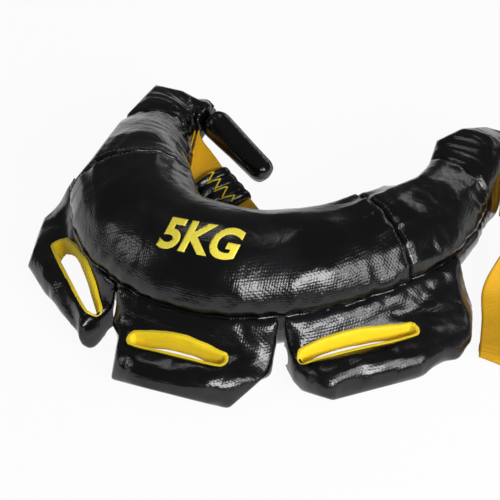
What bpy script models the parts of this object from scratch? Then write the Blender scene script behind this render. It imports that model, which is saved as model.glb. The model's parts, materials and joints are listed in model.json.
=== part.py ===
"""A bulgarian bag: a stuffed crescent with two folded horn grips, three side handles on
its outer edge, and a webbing loop at each horn.

Lengths are metres and +Z is up. The crescent lies on the ground, its outer edge faces -Y
and its horns point to +Y. Everything is laid out round the centre of the crescent's bend,
and one empty then carries the bag so that the middle of its footprint is the origin.
"""

import math

import bmesh
import bpy
from mathutils import Matrix, Vector

# Cloth, seams and clearances
FABRIC_THICKNESS = 0.0015
TOUCH_GAP = 0.0003
FILL_GAP = 0.0004
CROSS_SEAM_GAP = 0.0008
SEAM_ANGLE = 5

# Crescent: the bend of its centre line, and the section in its middle
BEND_RADIUS = 0.128
BODY_WIDTH = 0.130
BODY_HEIGHT = 0.128

# Sections from the middle to each horn: across and forward as shares of the bend
# radius, lift as a share of the body height, then width and height as shares of the body's
MIDDLE_SECTION_SHARES = (0, -1, 0.469, 1, 1)
LEFT_SECTION_SHARES = (
    (-0.574, -0.819, 0.469, 0.985, 0.984),
    (-0.912, -0.369, 0.461, 0.938, 0.938),
    (-1.052, 0.125, 0.445, 0.735, 0.766),
    (-1.118, 0.600, 0.385, 0.508, 0.450),
)
RIGHT_SECTION_SHARES = (
    (0.555, -0.794, 0.461, 0.923, 0.938),
    (1.016, -0.328, 0.445, 0.846, 0.859),
    (1.250, 0.094, 0.438, 0.754, 0.766),
    (1.359, 0.516, 0.445, 0.646, 0.656),
)
CROSS_SEAM_STATION = 2
HORN_STATION = 4
CENTRE_STEPS = 12
ARM_STEPS = 6
PANEL_STEPS = 10

# Horn hoods: rings in the frame of the horn's mouth. Forward, across and lift are shares of
# the mouth's width, the turn is clockwise in degrees, width and height are shares of the
# mouth's own
LEFT_HOOD_SHARES = (
    (0, 0, 0, 0, 1, 1),
    (0.33, 0.01, 0, 12, 0.99, 0.98),
    (0.66, 0.14, -0.03, 42, 1.08, 0.86),
    (0.72, 0.47, -0.03, 80, 0.72, 0.70),
    (0.50, 0.70, -0.01, 118, 0.42, 0.56),
)
RIGHT_HOOD_SHARES = (
    (0, 0, 0, 0, 1, 1),
    (0.31, -0.03, 0.04, -9, 0.95, 0.97),
    (0.59, -0.10, 0.09, -8, 0.88, 0.93),
    (0.83, -0.06, 0.09, 15, 0.70, 0.74),
    (1.09, 0.22, 0.02, 40, 0.42, 0.46),
)
HOOD_STEPS = 2
HOOD_SQUARENESS = 2.5
HOOD_FILL_RINGS = 2

# Hand grips at the horn ends
GRIP_RADIUS = 0.0155
GRIP_LENGTH = 0.074
GRIP_TIP_ROUND = 0.012
GRIP_MOUTH_RADIUS = 0.008
GRIP_TIP_LIFT = 0.0005
GRIP_SIDES = 12

# Side handles: a flap from the outer seam to a roll, with a hand slot between them. The
# section's places are shares of the reach outward and of the seam's height
ROLL_RADIUS = 0.0210
ROLL_LIFT = 0.0010
ROLL_CORE_RADIUS = 0.0065
ROLL_CORE_OUT = 0.0085
ROLL_CORE_SHARE = 0.66
ROLL_CORE_ROUND = 0.0040
ROLL_MOUTH_RADIUS = 0.0030
FLAP_TOP_SHARES = ((0.03, 1.03), (0.145, 0.97), (0.25, 0.85), (0.34, 0.72), (0.49, 0.635), (0.68, 0.63))
FLAP_UNDER_SHARES = ((0.68, 0.15), (0.55, 0.30), (0.37, 0.41), (0.18, 0.575), (0.06, 0.77), (0, 0.955))
ROLL_FIRST_ANGLE = 105
ROLL_STEPS = 6
SEAM_DROP = 0.0005
ROOT_GAP = 0.0004
PINCH_HALF = 0.0032
PINCH_TOP_SHARES = (1.03, 0.94, 0.83, 0.71, 0.58, 0.44)
PINCH_UNDER_SHARES = (0.32, 0.46, 0.60, 0.74, 0.86, 0.955)
NOTCH_HEIGHT = 0.0140
SLOT_WIDTH = 0.0150
SLOT_CENTRE_SHARE = 0.54
LINING_THICKNESS = 0.0010
FLAP_GAP = 0.0010
CUT_OVERRUN = 0.0100

# Rings along a side handle: share of its half length, and how full its section is there
FLAP_END_SHARES = ((1, 0), (0.98, 0.40), (0.94, 0.68), (0.86, 0.88), (0.70, 0.97), (0.36, 1))

# Each side handle: the stations of its root's two ends and its middle on the crescent, the
# place of its roll as shares of the bend radius, then turn and length of roll and hand slot,
# and the power by which its last end fills later
SIDE_HANDLES = {
    "left": dict(
        first=-2.45, middle=-1.40, last=-0.69, across=-0.980, forward=-1.362, turn=-41,
        roll=0.086, slot_turn=-48, slot=0.112, last_fade=1,
    ),
    "centre": dict(
        first=-0.69, middle=-0.02, last=0.69, across=-0.070, forward=-1.842, turn=0,
        roll=0.090, slot_turn=0, slot=0.092, last_fade=1,
    ),
    "right": dict(
        first=0.69, middle=1.50, last=2.80, across=1.150, forward=-1.425, turn=37,
        roll=0.076, slot_turn=41, slot=0.114, last_fade=2,
    ),
}

# Webbing loops and their padded sleeves. A loop leaves the hood at one ring of its wall and
# comes back at another. Its places are shares of the webbing's width, each with the
# direction across the webbing
STRAP_WIDTH = 0.040
STRAP_THICKNESS = 0.0020
STRAP_STEPS = 2
LOOP_DROP = 0.012
LOOP_STEM = 0.005
LEFT_LOOP_SHARES = (
    (-2.626, 1.937, 1.225, -0.21, 0.98, 0),
    (-2.622, 1.938, 1.10, -0.21, 0.98, 0),
    (-2.59, 1.935, 0.85, -0.20, 0.98, 0),
    (-2.510, 1.89, 0.50, -0.10, 0.99, 0),
    (-2.38, 1.78, 0.24, 0.12, 0.99, 0),
    (-2.18, 1.60, 0.11, 0.35, 0.94, 0),
    (-1.92, 1.40, 0.070, 0.50, 0.87, 0),
    (-1.50, 1.11, 0.058, 0.60, 0.80, 0),
    (-0.90, 0.58, 0.050, 0.61, 0.79, 0),
    (-0.10, -0.04, 0.048, 0.61, 0.79, 0),
    (0.62, -0.60, 0.048, 0.61, 0.79, 0),
    (0.90, -0.816, 0.058, 0.61, 0.79, 0),
    (1.02, -0.909, 0.105, 0.61, 0.79, 0),
    (1.06, -0.940, 0.165, 0.61, 0.79, 0),
    (1.02, -0.909, 0.225, 0.61, 0.79, 0),
    (0.90, -0.816, 0.268, 0.61, 0.79, 0),
    (0.42, -0.445, 0.270, 0.61, 0.79, 0),
    (-0.45, 0.22, 0.29, 0.58, 0.79, 0.20),
    (-0.98, 0.60, 0.42, 0.57, 0.78, 0.26),
    (-1.50, 0.97, 0.54, 0.57, 0.78, 0.26),
    (-1.97, 1.30, 0.66, 0.57, 0.78, 0.26),
    (-2.18, 1.50, 0.76, 0.45, 0.88, 0.15),
    (-2.34, 1.70, 0.86, 0.15, 0.98, 0.08),
    (-2.455, 1.87, 0.98, -0.10, 0.99, 0),
    (-2.518, 1.963, 1.12, -0.21, 0.98, 0),
    (-2.528, 1.965, 1.245, -0.21, 0.98, 0),
)
RIGHT_LOOP_RINGS = (1, 2)
RIGHT_LOOP_SHARES = (
    (5.90, 2.10, 1.19, 0.05, 0, 1),
    (6.12, 1.80, 1.10, 0.10, -0.15, 0.98),
    (6.20, 1.35, 0.95, 0.05, -0.30, 0.95),
    (6.20, 0.80, 0.74, -0.25, -0.33, 0.90),
    (6.19, 0.20, 0.48, -0.70, -0.25, 0.66),
    (6.20, -0.45, 0.30, -0.97, 0, 0.20),
    (6.38, -1.20, 0.225, -0.98, 0.20, 0),
    (6.55, -2.00, 0.240, -0.98, 0.20, 0),
    (6.61, -2.29, 0.250, -0.98, 0.20, 0),
    (6.645, -2.44, 0.225, -0.98, 0.20, 0),
    (6.66, -2.50, 0.155, -0.98, 0.20, 0),
    (6.645, -2.44, 0.085, -0.98, 0.20, 0),
    (6.61, -2.29, 0.050, -0.98, 0.20, 0),
    (6.55, -2.00, 0.046, -0.99, 0.15, 0),
    (6.62, -1.20, 0.046, -0.98, -0.20, 0),
    (7.05, -0.45, 0.050, -0.97, -0.24, 0),
    (7.36, 0.18, 0.14, -0.98, -0.10, 0.12),
    (7.38, 0.70, 0.34, -0.98, -0.05, 0.17),
    (7.42, 1.35, 0.42, -0.98, -0.05, 0.17),
    (7.38, 2.00, 0.48, -0.98, -0.05, 0.17),
    (7.20, 2.52, 0.66, -0.62, -0.50, 0.60),
    (6.85, 2.90, 0.85, -0.10, -0.53, 0.84),
    (6.30, 3.02, 1.05, 0.18, -0.10, 0.98),
)
SLEEVE_BORE_SQUARENESS = 6
SLEEVE_SPANS = {"left": (35, 39), "right": (37, 41)}
SLEEVE_BORE_GAP = 0.0008
SLEEVE_HALF_WIDTH = 0.0240
SLEEVE_HALF_HEIGHT = 0.0125
SLEEVE_END_SHARE = 0.8
SLEEVE_SIDES = 12

# Drawing helpers


def remove_everything():
    for thing in list(bpy.data.objects):
        bpy.data.objects.remove(thing, do_unlink=True)


def make_collection(name):
    collection = bpy.data.collections.new(name)
    bpy.context.scene.collection.children.link(collection)
    return collection


def make_material(name, colour, roughness):
    material = bpy.data.materials.new(name)
    material.use_nodes = True
    shader = material.node_tree.nodes["Principled BSDF"]
    shader.inputs["Base Color"].default_value = (*colour, 1)
    shader.inputs["Roughness"].default_value = roughness
    shader.inputs["Metallic"].default_value = 0
    return material


def add_object(name, bm, collection, material=None):
    """Turn a bmesh into an object and put it in a collection."""
    mesh = bpy.data.meshes.new(name)
    bm.to_mesh(mesh)
    bm.free()
    made = bpy.data.objects.new(name, mesh)
    collection.objects.link(made)
    if material:
        mesh.materials.append(material)
        mesh.shade_smooth()
        mesh.set_sharp_from_angle(angle=math.radians(50))
    return made


def hinge_at(made, pivot):
    """Put the object's origin on its joint's axis without moving its shape."""
    made.data.transform(Matrix.Translation(-pivot))
    made.location = pivot


def cut(made, cutter, operation="DIFFERENCE"):
    modifier = made.modifiers.new(operation.lower(), "BOOLEAN")
    modifier.operation = operation
    modifier.solver = "EXACT"
    modifier.object = cutter


def as_cutter(made):
    made.hide_render = True
    made.display_type = "WIRE"
    return made


def loft(rings, caps=True, mirrored=False):
    """Join closed rings of points with triangles. Each ring runs the same way round. When it
    is mirrored, the second half's triangles lean as the first half's do."""
    bm = bmesh.new()
    rows = [[bm.verts.new(point) for point in ring] for ring in rings]
    count = len(rows[0])
    pairs = list(zip(rows, rows[1:]))
    if not caps:
        pairs.append((rows[-1], rows[0]))
    for low, high in pairs:
        for i in range(count):
            j = (i + 1) % count
            if mirrored and 2 * i >= count:
                bm.faces.new((low[i], low[j], high[i]))
                bm.faces.new((low[j], high[j], high[i]))
            else:
                bm.faces.new((low[i], low[j], high[j]))
                bm.faces.new((low[i], high[j], high[i]))
    if caps:
        bm.faces.new(rows[0][::-1])
        bm.faces.new(rows[-1])
    bmesh.ops.recalc_face_normals(bm, faces=bm.faces)
    return bm


def spread(first, last, steps):
    return [first + (last - first) * i / steps for i in range(steps + 1)]


def smooth_row(rows, t):
    """Catmull-Rom through rows of numbers, at t counted in rows."""
    i = min(max(int(math.floor(t)), 0), len(rows) - 2)
    u = t - i
    before = rows[i - 1] if i else [2 * a - b for a, b in zip(rows[0], rows[1])]
    after = rows[i + 2] if i + 2 < len(rows) else [2 * a - b for a, b in zip(rows[-1], rows[-2])]
    mixed = []
    for p, a, b, q in zip(before, rows[i], rows[i + 1], after):
        bend = (2 * p - 5 * a + 4 * b - q) * u + (3 * (a - b) + q - p) * u * u
        mixed.append(a + (b - p + bend) * u / 2)
    return mixed


def oval(centre, across, up, half_width, half_height, angles, power=2):
    """A ring of points at these angles: an ellipse at power 2, and squarer above it."""
    ring = []
    for degrees in angles:
        angle = math.radians(degrees)
        cos, sin = math.cos(angle), math.sin(angle)
        wide = math.copysign(abs(cos) ** (2 / power), cos) * half_width
        high = math.copysign(abs(sin) ** (2 / power), sin) * half_height
        ring.append(centre + across * wide + up * high)
    return ring


# The crescent


def body_rows():
    """Centre, width and height of each section, from the left horn to the right one."""
    shares = [*LEFT_SECTION_SHARES[::-1], MIDDLE_SECTION_SHARES, *RIGHT_SECTION_SHARES]
    rows = []
    for across, forward, lift, width, height in shares:
        rows.append((
            across * BEND_RADIUS,
            forward * BEND_RADIUS,
            lift * BODY_HEIGHT,
            width * BODY_WIDTH,
            height * BODY_HEIGHT,
        ))
    return rows


BODY_ROWS = body_rows()


def body_frame(station):
    """Centre, outward and up directions, half width and half height at a station."""
    x, y, z, width, height = smooth_row(BODY_ROWS, station + HORN_STATION)
    step = 0.01
    ahead = smooth_row(BODY_ROWS, station + HORN_STATION + step)
    behind = smooth_row(BODY_ROWS, station + HORN_STATION - step)
    along = Vector((ahead[0] - behind[0], ahead[1] - behind[1], 0)).normalized()
    outward = along.cross(Vector((0, 0, 1)))
    return Vector((x, y, z)), along, outward, width / 2, height / 2


def body_point(station, degrees, inset=0):
    """A point of the crescent's skin. Zero degrees is its outer edge and 90 its top."""
    centre, _, outward, half_width, half_height = body_frame(station)
    angle = math.radians(degrees)
    point = centre + outward * (half_width - inset) * math.cos(angle)
    point.z += (half_height - inset) * math.sin(angle)
    point.z = max(point.z, inset)
    return point


def station_beside(station, distance):
    """The station that lies a distance further along the centre line."""
    step = 0.01
    ahead = body_frame(station + step)[0]
    behind = body_frame(station - step)[0]
    return station + distance * 2 * step / (ahead - behind).length


def make_panel(name, first, last, steps, low, high, parts, material):
    """One sewn panel of the crescent's skin: half a tube with a fabric wall."""
    rings = []
    for station in spread(first, last, steps):
        slack = math.degrees(TOUCH_GAP / 2 / body_frame(station)[4])
        angles = spread(low + slack, high - slack, PANEL_STEPS)
        outer = [body_point(station, a) for a in angles]
        inner = [body_point(station, a, FABRIC_THICKNESS) for a in angles]
        rings.append(outer + inner[::-1])
    add_object(name, loft(rings), parts, material)


def make_skin(parts, material):
    """Three panels above and three below, parted at the cross seams."""
    half_gap = CROSS_SEAM_GAP / 2
    seam_left = -CROSS_SEAM_STATION
    seam_right = CROSS_SEAM_STATION
    spans = {
        "left": (-HORN_STATION, station_beside(seam_left, -half_gap), ARM_STEPS),
        "centre": (
            station_beside(seam_left, half_gap),
            station_beside(seam_right, -half_gap),
            CENTRE_STEPS,
        ),
        "right": (station_beside(seam_right, half_gap), HORN_STATION, ARM_STEPS),
    }
    for side, (first, last, steps) in spans.items():
        make_panel(f"top_panel_{side}", first, last, steps, SEAM_ANGLE, 180, parts, material)
        make_panel(
            f"underside_panel_{side}", first, last, steps, 180, 360 + SEAM_ANGLE, parts, material
        )
    return spans


def skin_angles():
    """The angles of the panels' inner points, so that hoods and fill lie parallel to the cloth."""
    below = spread(360 + SEAM_ANGLE, 180, PANEL_STEPS)[:-1]
    return below + spread(180, SEAM_ANGLE, PANEL_STEPS)[:-1]


def make_fill(spans, parts, material):
    """Ballast liners: one in the middle and one in each arm, which also fills the hood."""
    inset = FABRIC_THICKNESS + FILL_GAP
    for side, (first, last, steps) in spans.items():
        rings = [[body_point(s, a, inset) for a in skin_angles()] for s in spread(first, last, steps)]
        if side == "left":
            rings = hood_rings(LEFT_HOOD_SHARES, -1, inset, HOOD_FILL_RINGS)[:0:-1] + rings
        if side == "right":
            rings = rings + hood_rings(RIGHT_HOOD_SHARES, 1, inset, HOOD_FILL_RINGS)[1:]
        add_object(f"fill_bag_{side}", loft(rings), parts, material)


# Horn hoods


def mouth_frame(side):
    """The horn's open end: its centre, its forward and rightward directions and sizes."""
    centre, along, _, half_width, half_height = body_frame(side * HORN_STATION)
    forward = along * side
    right = forward.cross(Vector((0, 0, 1)))
    return centre, forward, right, half_width, half_height


def hood_frame(shares, side, t):
    """Centre, across and facing directions and half sizes of the hood at ring t."""
    centre, forward, right, half_width, half_height = mouth_frame(side)
    ahead, across, lift, turn, wide, high = smooth_row(shares, t)
    width = 2 * half_width
    place = centre + forward * ahead * width + right * across * width
    place.z += lift * width
    angle = math.radians(turn)
    ring_right = right * math.cos(angle) - forward * math.sin(angle)
    facing = forward * math.cos(angle) + right * math.sin(angle)
    return place, ring_right, facing, wide * half_width, high * half_height


def hood_rings(shares, side, inset, last):
    """Rings of the hood from its mouth on, inside an inset, at the crescent's own angles."""
    rings = []
    for t in spread(0, last, HOOD_STEPS * last):
        place, across, facing, half_width, half_height = hood_frame(shares, side, t)
        if t == 0:
            place += facing * TOUCH_GAP
        if t == len(shares) - 1:
            place -= facing * inset
        power = 2 + (HOOD_SQUARENESS - 2) * min(t, 1)
        up = Vector((0, 0, 1))
        size = half_width - inset, half_height - inset
        rings.append(oval(place, across * side, up, *size, skin_angles(), power))
    return rings


def make_hood(name, shares, side, parts, material):
    """A fabric elbow over the horn's end, closed where the grip is sewn on."""
    last = len(shares) - 1
    outer = hood_rings(shares, side, 0, last)
    inner = hood_rings(shares, side, FABRIC_THICKNESS, last)
    rings = [*outer[::-1], *inner] if side > 0 else [*inner[::-1], *outer]
    add_object(name, loft(rings), parts, material)


# Hand grips


def grip_profile(inset):
    """Half outline from the root round the side to the tip, as distance along and radius."""
    radius = GRIP_RADIUS - inset
    round_off = GRIP_TIP_ROUND - inset
    outline = []
    for degrees in spread(180, 90, 4):
        angle = math.radians(degrees)
        outline.append((radius * math.cos(angle), radius * math.sin(angle)))
    outline.append((GRIP_LENGTH / 2, radius))
    for degrees in spread(90, 0, 3):
        angle = math.radians(degrees)
        outline.append((
            GRIP_LENGTH - inset - round_off * (1 - math.cos(angle)),
            radius - round_off * (1 - math.sin(angle)),
        ))
    outline.append((GRIP_LENGTH - inset, 0))
    return outline


def grip_placement(shares, side):
    """Where the grip's root sits, and the turn that droops its tip to the ground."""
    place, _, facing, _, _ = hood_frame(shares, side, len(shares) - 1)
    pivot = place + facing * (GRIP_RADIUS + TOUCH_GAP)
    drop = pivot.z - GRIP_RADIUS - GRIP_TIP_LIFT
    reach = math.sqrt(GRIP_LENGTH**2 - drop**2)
    axis = Vector((facing.x * reach, facing.y * reach, -drop)).normalized()
    return pivot, axis


def make_grip(side_name, shares, side, parts, fabric, foam):
    """A stuffed roll: a sewn cover, open at its root, over a firm core."""
    pivot, axis = grip_placement(shares, side)
    turn = axis.to_track_quat("X", "Z").to_matrix().to_4x4()
    wall = []
    for inset in (FABRIC_THICKNESS, 0):
        mouth = -math.sqrt((GRIP_RADIUS - inset) ** 2 - GRIP_MOUTH_RADIUS**2)
        past_mouth = [p for p in grip_profile(inset) if p[1] > GRIP_MOUTH_RADIUS or p[0] > 0]
        outline = [(mouth, GRIP_MOUTH_RADIUS), *past_mouth]
        wall += outline if wall else outline[::-1]
    bodies = {
        f"{side_name}_grip_cover": (turned(wall), fabric),
        f"{side_name}_grip_core": (turned(grip_profile(FABRIC_THICKNESS + FILL_GAP)), foam),
    }
    for name, (bm, material) in bodies.items():
        bmesh.ops.transform(bm, matrix=turn, verts=bm.verts)
        made = add_object(name, bm, parts, material)
        made.location = pivot


def turned(outline):
    """Spin an outline of (along, radius) points, with both ends on the X axis, round it."""
    bm = bmesh.new()
    verts = [bm.verts.new((along, radius, 0)) for along, radius in outline]
    edges = [bm.edges.new(pair) for pair in zip(verts, verts[1:])]
    bmesh.ops.spin(
        bm,
        geom=[*verts, *edges],
        cent=(0, 0, 0),
        axis=(1, 0, 0),
        angle=2 * math.pi,
        steps=GRIP_SIDES,
        use_merge=True,
    )
    bmesh.ops.remove_doubles(bm, verts=bm.verts, dist=TOUCH_GAP / 10)
    bmesh.ops.dissolve_degenerate(bm, edges=bm.edges, dist=TOUCH_GAP / 10)
    bmesh.ops.recalc_face_normals(bm, faces=bm.faces)
    return bm


# Side handles


def flap_station(spec, share):
    """The flap's root on the seam, the way out from it and its roll's centre at a share."""
    first = station_beside(spec["first"], FLAP_GAP)
    last = station_beside(spec["last"], -FLAP_GAP)
    lean = (first + last) / 2 - spec["middle"]
    station = spec["middle"] + (last - first) / 2 * share + lean * share * share
    centre, _, outward, half_width, _ = body_frame(station)
    root = centre + outward * (half_width + ROOT_GAP)
    root.z = body_point(station, SEAM_ANGLE).z - SEAM_DROP
    roll_centre = Vector((spec["across"], spec["forward"], 0)) * BEND_RADIUS
    roll_centre.z = ROLL_RADIUS + ROLL_LIFT
    return root, outward, roll_centre + level_direction(spec["turn"]) * share * spec["roll"] / 2


def level_direction(degrees):
    angle = math.radians(degrees)
    return Vector((math.cos(angle), math.sin(angle), 0))


def arc(centre_out, centre_up, radius, first, last):
    """Points round a centre in the section, from the first angle to the last."""
    points = []
    for degrees in spread(first, last, ROLL_STEPS):
        angle = math.radians(degrees)
        points.append(Vector((centre_out + radius * math.cos(angle), centre_up + radius * math.sin(angle))))
    return points


def flap_ring(spec, share, full):
    """One section of the side handle, blended from a full roll to a pinched web at its ends."""
    root, outward, tip = flap_station(spec, share)
    reach = Vector((tip.x - root.x, tip.y - root.y, 0))
    over = [Vector((out * reach.length, up * root.z)) for out, up in FLAP_TOP_SHARES]
    under = [Vector((out * reach.length, up * root.z)) for out, up in FLAP_UNDER_SHARES]
    around = arc(reach.length, tip.z, ROLL_RADIUS, ROLL_FIRST_ANGLE, -ROLL_FIRST_ANGLE)
    round_roll = over + around + under
    pinched = [Vector((2 * PINCH_HALF, up * root.z)) for up in PINCH_TOP_SHARES]
    pinched += arc(PINCH_HALF, NOTCH_HEIGHT, PINCH_HALF, 0, -180)
    pinched += [Vector((0, up * root.z)) for up in PINCH_UNDER_SHARES]
    direction = outward.lerp(reach.normalized(), full).normalized()
    ring = []
    for thin, thick in zip(pinched, round_roll):
        out, up = thin.lerp(thick, full)
        ring.append(Vector((root.x, root.y, up)) + direction * out)
    return ring


def flap_solid(name, spec, collection, material=None):
    """The side handle's whole form, pinched together at both ends."""
    ends = FLAP_END_SHARES
    places = [(-share, full) for share, full in ends] + [(0, 1)]
    places += [(share, full ** spec["last_fade"]) for share, full in ends[::-1]]
    rings = [flap_ring(spec, share, full) for share, full in places]
    return add_object(name, loft(rings), collection, material)


def roll_core(name, spec, room, collection, material=None):
    """The stuffing of the roll, with rounded ends. With room round it, it is the pocket in
    the cover, and a narrow mouth leads out of the pocket's end."""
    radius = ROLL_CORE_RADIUS + room
    half_length = spec["roll"] / 2 * ROLL_CORE_SHARE + room
    rounded = []
    for degrees in spread(0, 90, 2):
        angle = math.radians(degrees)
        along = half_length - ROLL_CORE_ROUND * (1 - math.cos(angle))
        rounded.append((along, radius - ROLL_CORE_ROUND * (1 - math.sin(angle))))
    outline = [(-half_length, 0), *((-a, r) for a, r in rounded), *rounded[::-1]]
    if room:
        past_end = spec["roll"] / 2 + CUT_OVERRUN
        outline += [(half_length, ROLL_MOUTH_RADIUS), (past_end, ROLL_MOUTH_RADIUS), (past_end, 0)]
    else:
        outline.append((half_length, 0))
    bm = turned(outline)
    _, _, tip = flap_station(spec, 0)
    tip += level_direction(spec["turn"] - 90) * ROLL_CORE_OUT
    place = Matrix.Translation(tip) @ Matrix.Rotation(math.radians(spec["turn"]), 4, "Z")
    bmesh.ops.transform(bm, matrix=place, verts=bm.verts)
    return add_object(name, bm, collection, material)


def slot_centre(spec):
    root, _, tip = flap_station(spec, 0)
    return root.lerp(tip, SLOT_CENTRE_SHARE)


def slot_tool(name, spec, inset, collection):
    """An upright bar with round ends, as long and wide as the hand slot less an inset."""
    half_length = spec["slot"] / 2 - inset
    half_width = SLOT_WIDTH / 2 - inset
    centre = slot_centre(spec)
    along = level_direction(spec["slot_turn"])
    across = Vector((along.y, -along.x, 0))
    straight = half_length - half_width
    outline = []
    for end, start in ((1, -90), (-1, 90)):
        for degrees in spread(start, start + 180, 4):
            angle = math.radians(degrees)
            reach = along * (end * straight + half_width * math.cos(angle))
            outline.append(reach + across * half_width * math.sin(angle))
    rings = []
    for height in (-ROLL_LIFT - CUT_OVERRUN, centre.z + ROLL_RADIUS + CUT_OVERRUN):
        rings.append([Vector((centre.x + p.x, centre.y + p.y, height)) for p in outline])
    return as_cutter(add_object(name, loft(rings), collection))


def make_side_handle(side, spec, parts, cutters, fabric, foam, yellow):
    """Cover, foam core and slot lining of one side handle, hinged on the outer seam."""
    name = f"{side}_side_handle"
    root, outward, _ = flap_station(spec, 0)
    pivot = root + outward * PINCH_HALF
    form = as_cutter(flap_solid(f"{name}_form", spec, cutters))
    pocket = as_cutter(roll_core(f"{name}_pocket", spec, FILL_GAP, cutters))
    slot = slot_tool(f"{name}_slot", spec, 0, cutters)
    lining_bore = slot_tool(f"{name}_lining_bore", spec, TOUCH_GAP + LINING_THICKNESS, cutters)
    cover = flap_solid(f"{name}_cover", spec, parts, fabric)
    cut(cover, pocket)
    cut(cover, slot)
    core = roll_core(f"{name}_core", spec, 0, parts, foam)
    lining_tool = slot_tool(f"{name}_lining", spec, TOUCH_GAP, parts)
    lining_tool.hide_render = False
    lining_tool.display_type = "TEXTURED"
    lining_tool.data.materials.append(yellow)
    cut(lining_tool, form, "INTERSECT")
    cut(lining_tool, lining_bore)
    for made in (cover, core, lining_tool):
        hinge_at(made, pivot)
    return pivot


# Webbing loops


def wall_point(shares, side, t):
    """A point just off the hood's wall, where that is widest at ring t, and the way straight out."""
    walls = []
    for near in (t, t + 1 / HOOD_STEPS, t - 1 / HOOD_STEPS):
        place, across, _, half_width, _ = hood_frame(shares, side, near)
        walls.append(place + across * half_width)
    along = walls[1] - walls[2]
    out = Vector((along.y, -along.x, 0)).normalized()
    out = out if out.dot(hood_frame(shares, side, t)[1]) > 0 else -out
    return walls[0] + out * TOUCH_GAP, out


def upright_end(shares, side, t):
    """The webbing's end, butted upright on the hood's wall."""
    up = Vector((0, 0, 1))
    wall, out = wall_point(shares, side, t)
    place = wall - up * LOOP_DROP
    return [(place, up), (place + out * LOOP_STEM, up)]


def loop_rows(places, first_end=(), last_end=()):
    """Places and side directions of the webbing, from one stitched end to the other."""
    rows = []
    for across, forward, lift, a, b, c in places:
        place = Vector((across, forward, lift)) * STRAP_WIDTH
        rows.append((place, Vector((a, b, c)).normalized()))
    return [*first_end, *rows, *last_end[::-1]]


def sampled(rows):
    """Centre, side and facing of the webbing all along it, with a straight stem at each end."""
    numbers = [[*place, *side] for place, side in rows[1:-1]]
    whole = [rows[0]]
    for t in spread(0, len(numbers) - 1, STRAP_STEPS * (len(numbers) - 1)):
        x, y, z, a, b, c = smooth_row(numbers, t)
        whole.append((Vector((x, y, z)), Vector((a, b, c))))
    whole.append(rows[-1])
    samples = []
    for i, (centre, side) in enumerate(whole):
        way = (whole[min(i + 1, len(whole) - 1)][0] - whole[max(i - 1, 0)][0]).normalized()
        samples.append((centre, side.normalized(), way.cross(side).normalized()))
    return samples


def box_ring(centre, side, up, half_width, half_height, angles):
    """A closed ring on a rectangle, at these angles with its corners on the diagonals."""
    ring = []
    for degrees in angles:
        angle = math.radians(degrees)
        cos, sin = math.cos(angle), math.sin(angle)
        widest = max(abs(cos), abs(sin))
        ring.append(centre + side * (cos / widest * half_width) + up * (sin / widest * half_height))
    return ring


def make_strap(name, rows, pivot, parts, material):
    """Flat webbing along its rows, with a woven band's thickness."""
    rings = []
    corners = spread(45, 315, 3)
    for centre, side, up in sampled(rows):
        rings.append(box_ring(centre, side, up, STRAP_WIDTH / 2, STRAP_THICKNESS / 2, corners))
    hinge_at(add_object(name, loft(rings, mirrored=True), parts, material), pivot)


def make_sleeve(name, rows, span, pivot, parts, material):
    """A padded tube that the webbing runs through."""
    first, last = span
    samples = sampled(rows)[first : last + 1]
    bore_width = STRAP_WIDTH / 2 + SLEEVE_BORE_GAP
    bore_height = STRAP_THICKNESS / 2 + SLEEVE_BORE_GAP
    angles = spread(0, 360, SLEEVE_SIDES)[:-1]
    outer = []
    bore = []
    for centre, side, up in samples:
        height = SLEEVE_HALF_HEIGHT * (1 if outer else SLEEVE_END_SHARE)
        if len(outer) == len(samples) - 1:
            height = SLEEVE_HALF_HEIGHT * SLEEVE_END_SHARE
        outer.append(oval(centre, side, up, SLEEVE_HALF_WIDTH, height, angles))
        size = bore_width, bore_height
        bore.append(oval(centre, side, up, *size, angles, SLEEVE_BORE_SQUARENESS))
    rings = [*outer, *bore[::-1]]
    sleeve = add_object(name, loft(rings, caps=False, mirrored=True), parts, material)
    hinge_at(sleeve, pivot)


def make_loop(side_name, rows, parts, webbing, fabric):
    """A loop and its sleeve, hinged where the webbing is sewn on: along its width where it
    lies flat on the hood, and at its upper edge where it stands upright."""
    pivot = rows[0][0].lerp(rows[-1][0], 0.5)
    pivot.z += rows[0][1].z * STRAP_WIDTH / 2
    make_strap(f"{side_name}_strap", rows, pivot, parts, webbing)
    make_sleeve(f"{side_name}_strap_sleeve", rows, SLEEVE_SPANS[side_name], pivot, parts, fabric)


def build():
    remove_everything()
    parts = make_collection("bulgarian_bag")
    cutters = make_collection("cutters")
    black = make_material("black_coated_fabric", (0.012, 0.011, 0.014), 0.28)
    yellow = make_material("yellow_lining_fabric", (0.78, 0.60, 0.02), 0.55)
    webbing = make_material("golden_webbing", (0.66, 0.34, 0.01), 0.75)
    foam = make_material("grey_foam", (0.20, 0.20, 0.21), 0.9)
    ballast = make_material("ballast_liner", (0.35, 0.33, 0.30), 0.9)
    spans = make_skin(parts, black)
    make_fill(spans, parts, ballast)
    for side_name, shares, side in (("left", LEFT_HOOD_SHARES, -1), ("right", RIGHT_HOOD_SHARES, 1)):
        make_hood(f"{side_name}_end_hood", shares, side, parts, black)
        make_grip(side_name, shares, side, parts, black, foam)
    make_loop("left", loop_rows(LEFT_LOOP_SHARES), parts, webbing, black)
    upright = [upright_end(RIGHT_HOOD_SHARES, 1, ring) for ring in RIGHT_LOOP_RINGS]
    make_loop("right", loop_rows(RIGHT_LOOP_SHARES, *upright), parts, webbing, black)
    for side_name, spec in SIDE_HANDLES.items():
        make_side_handle(side_name, spec, parts, cutters, black, foam, yellow)
    rest_on_origin(parts, cutters)


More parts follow.
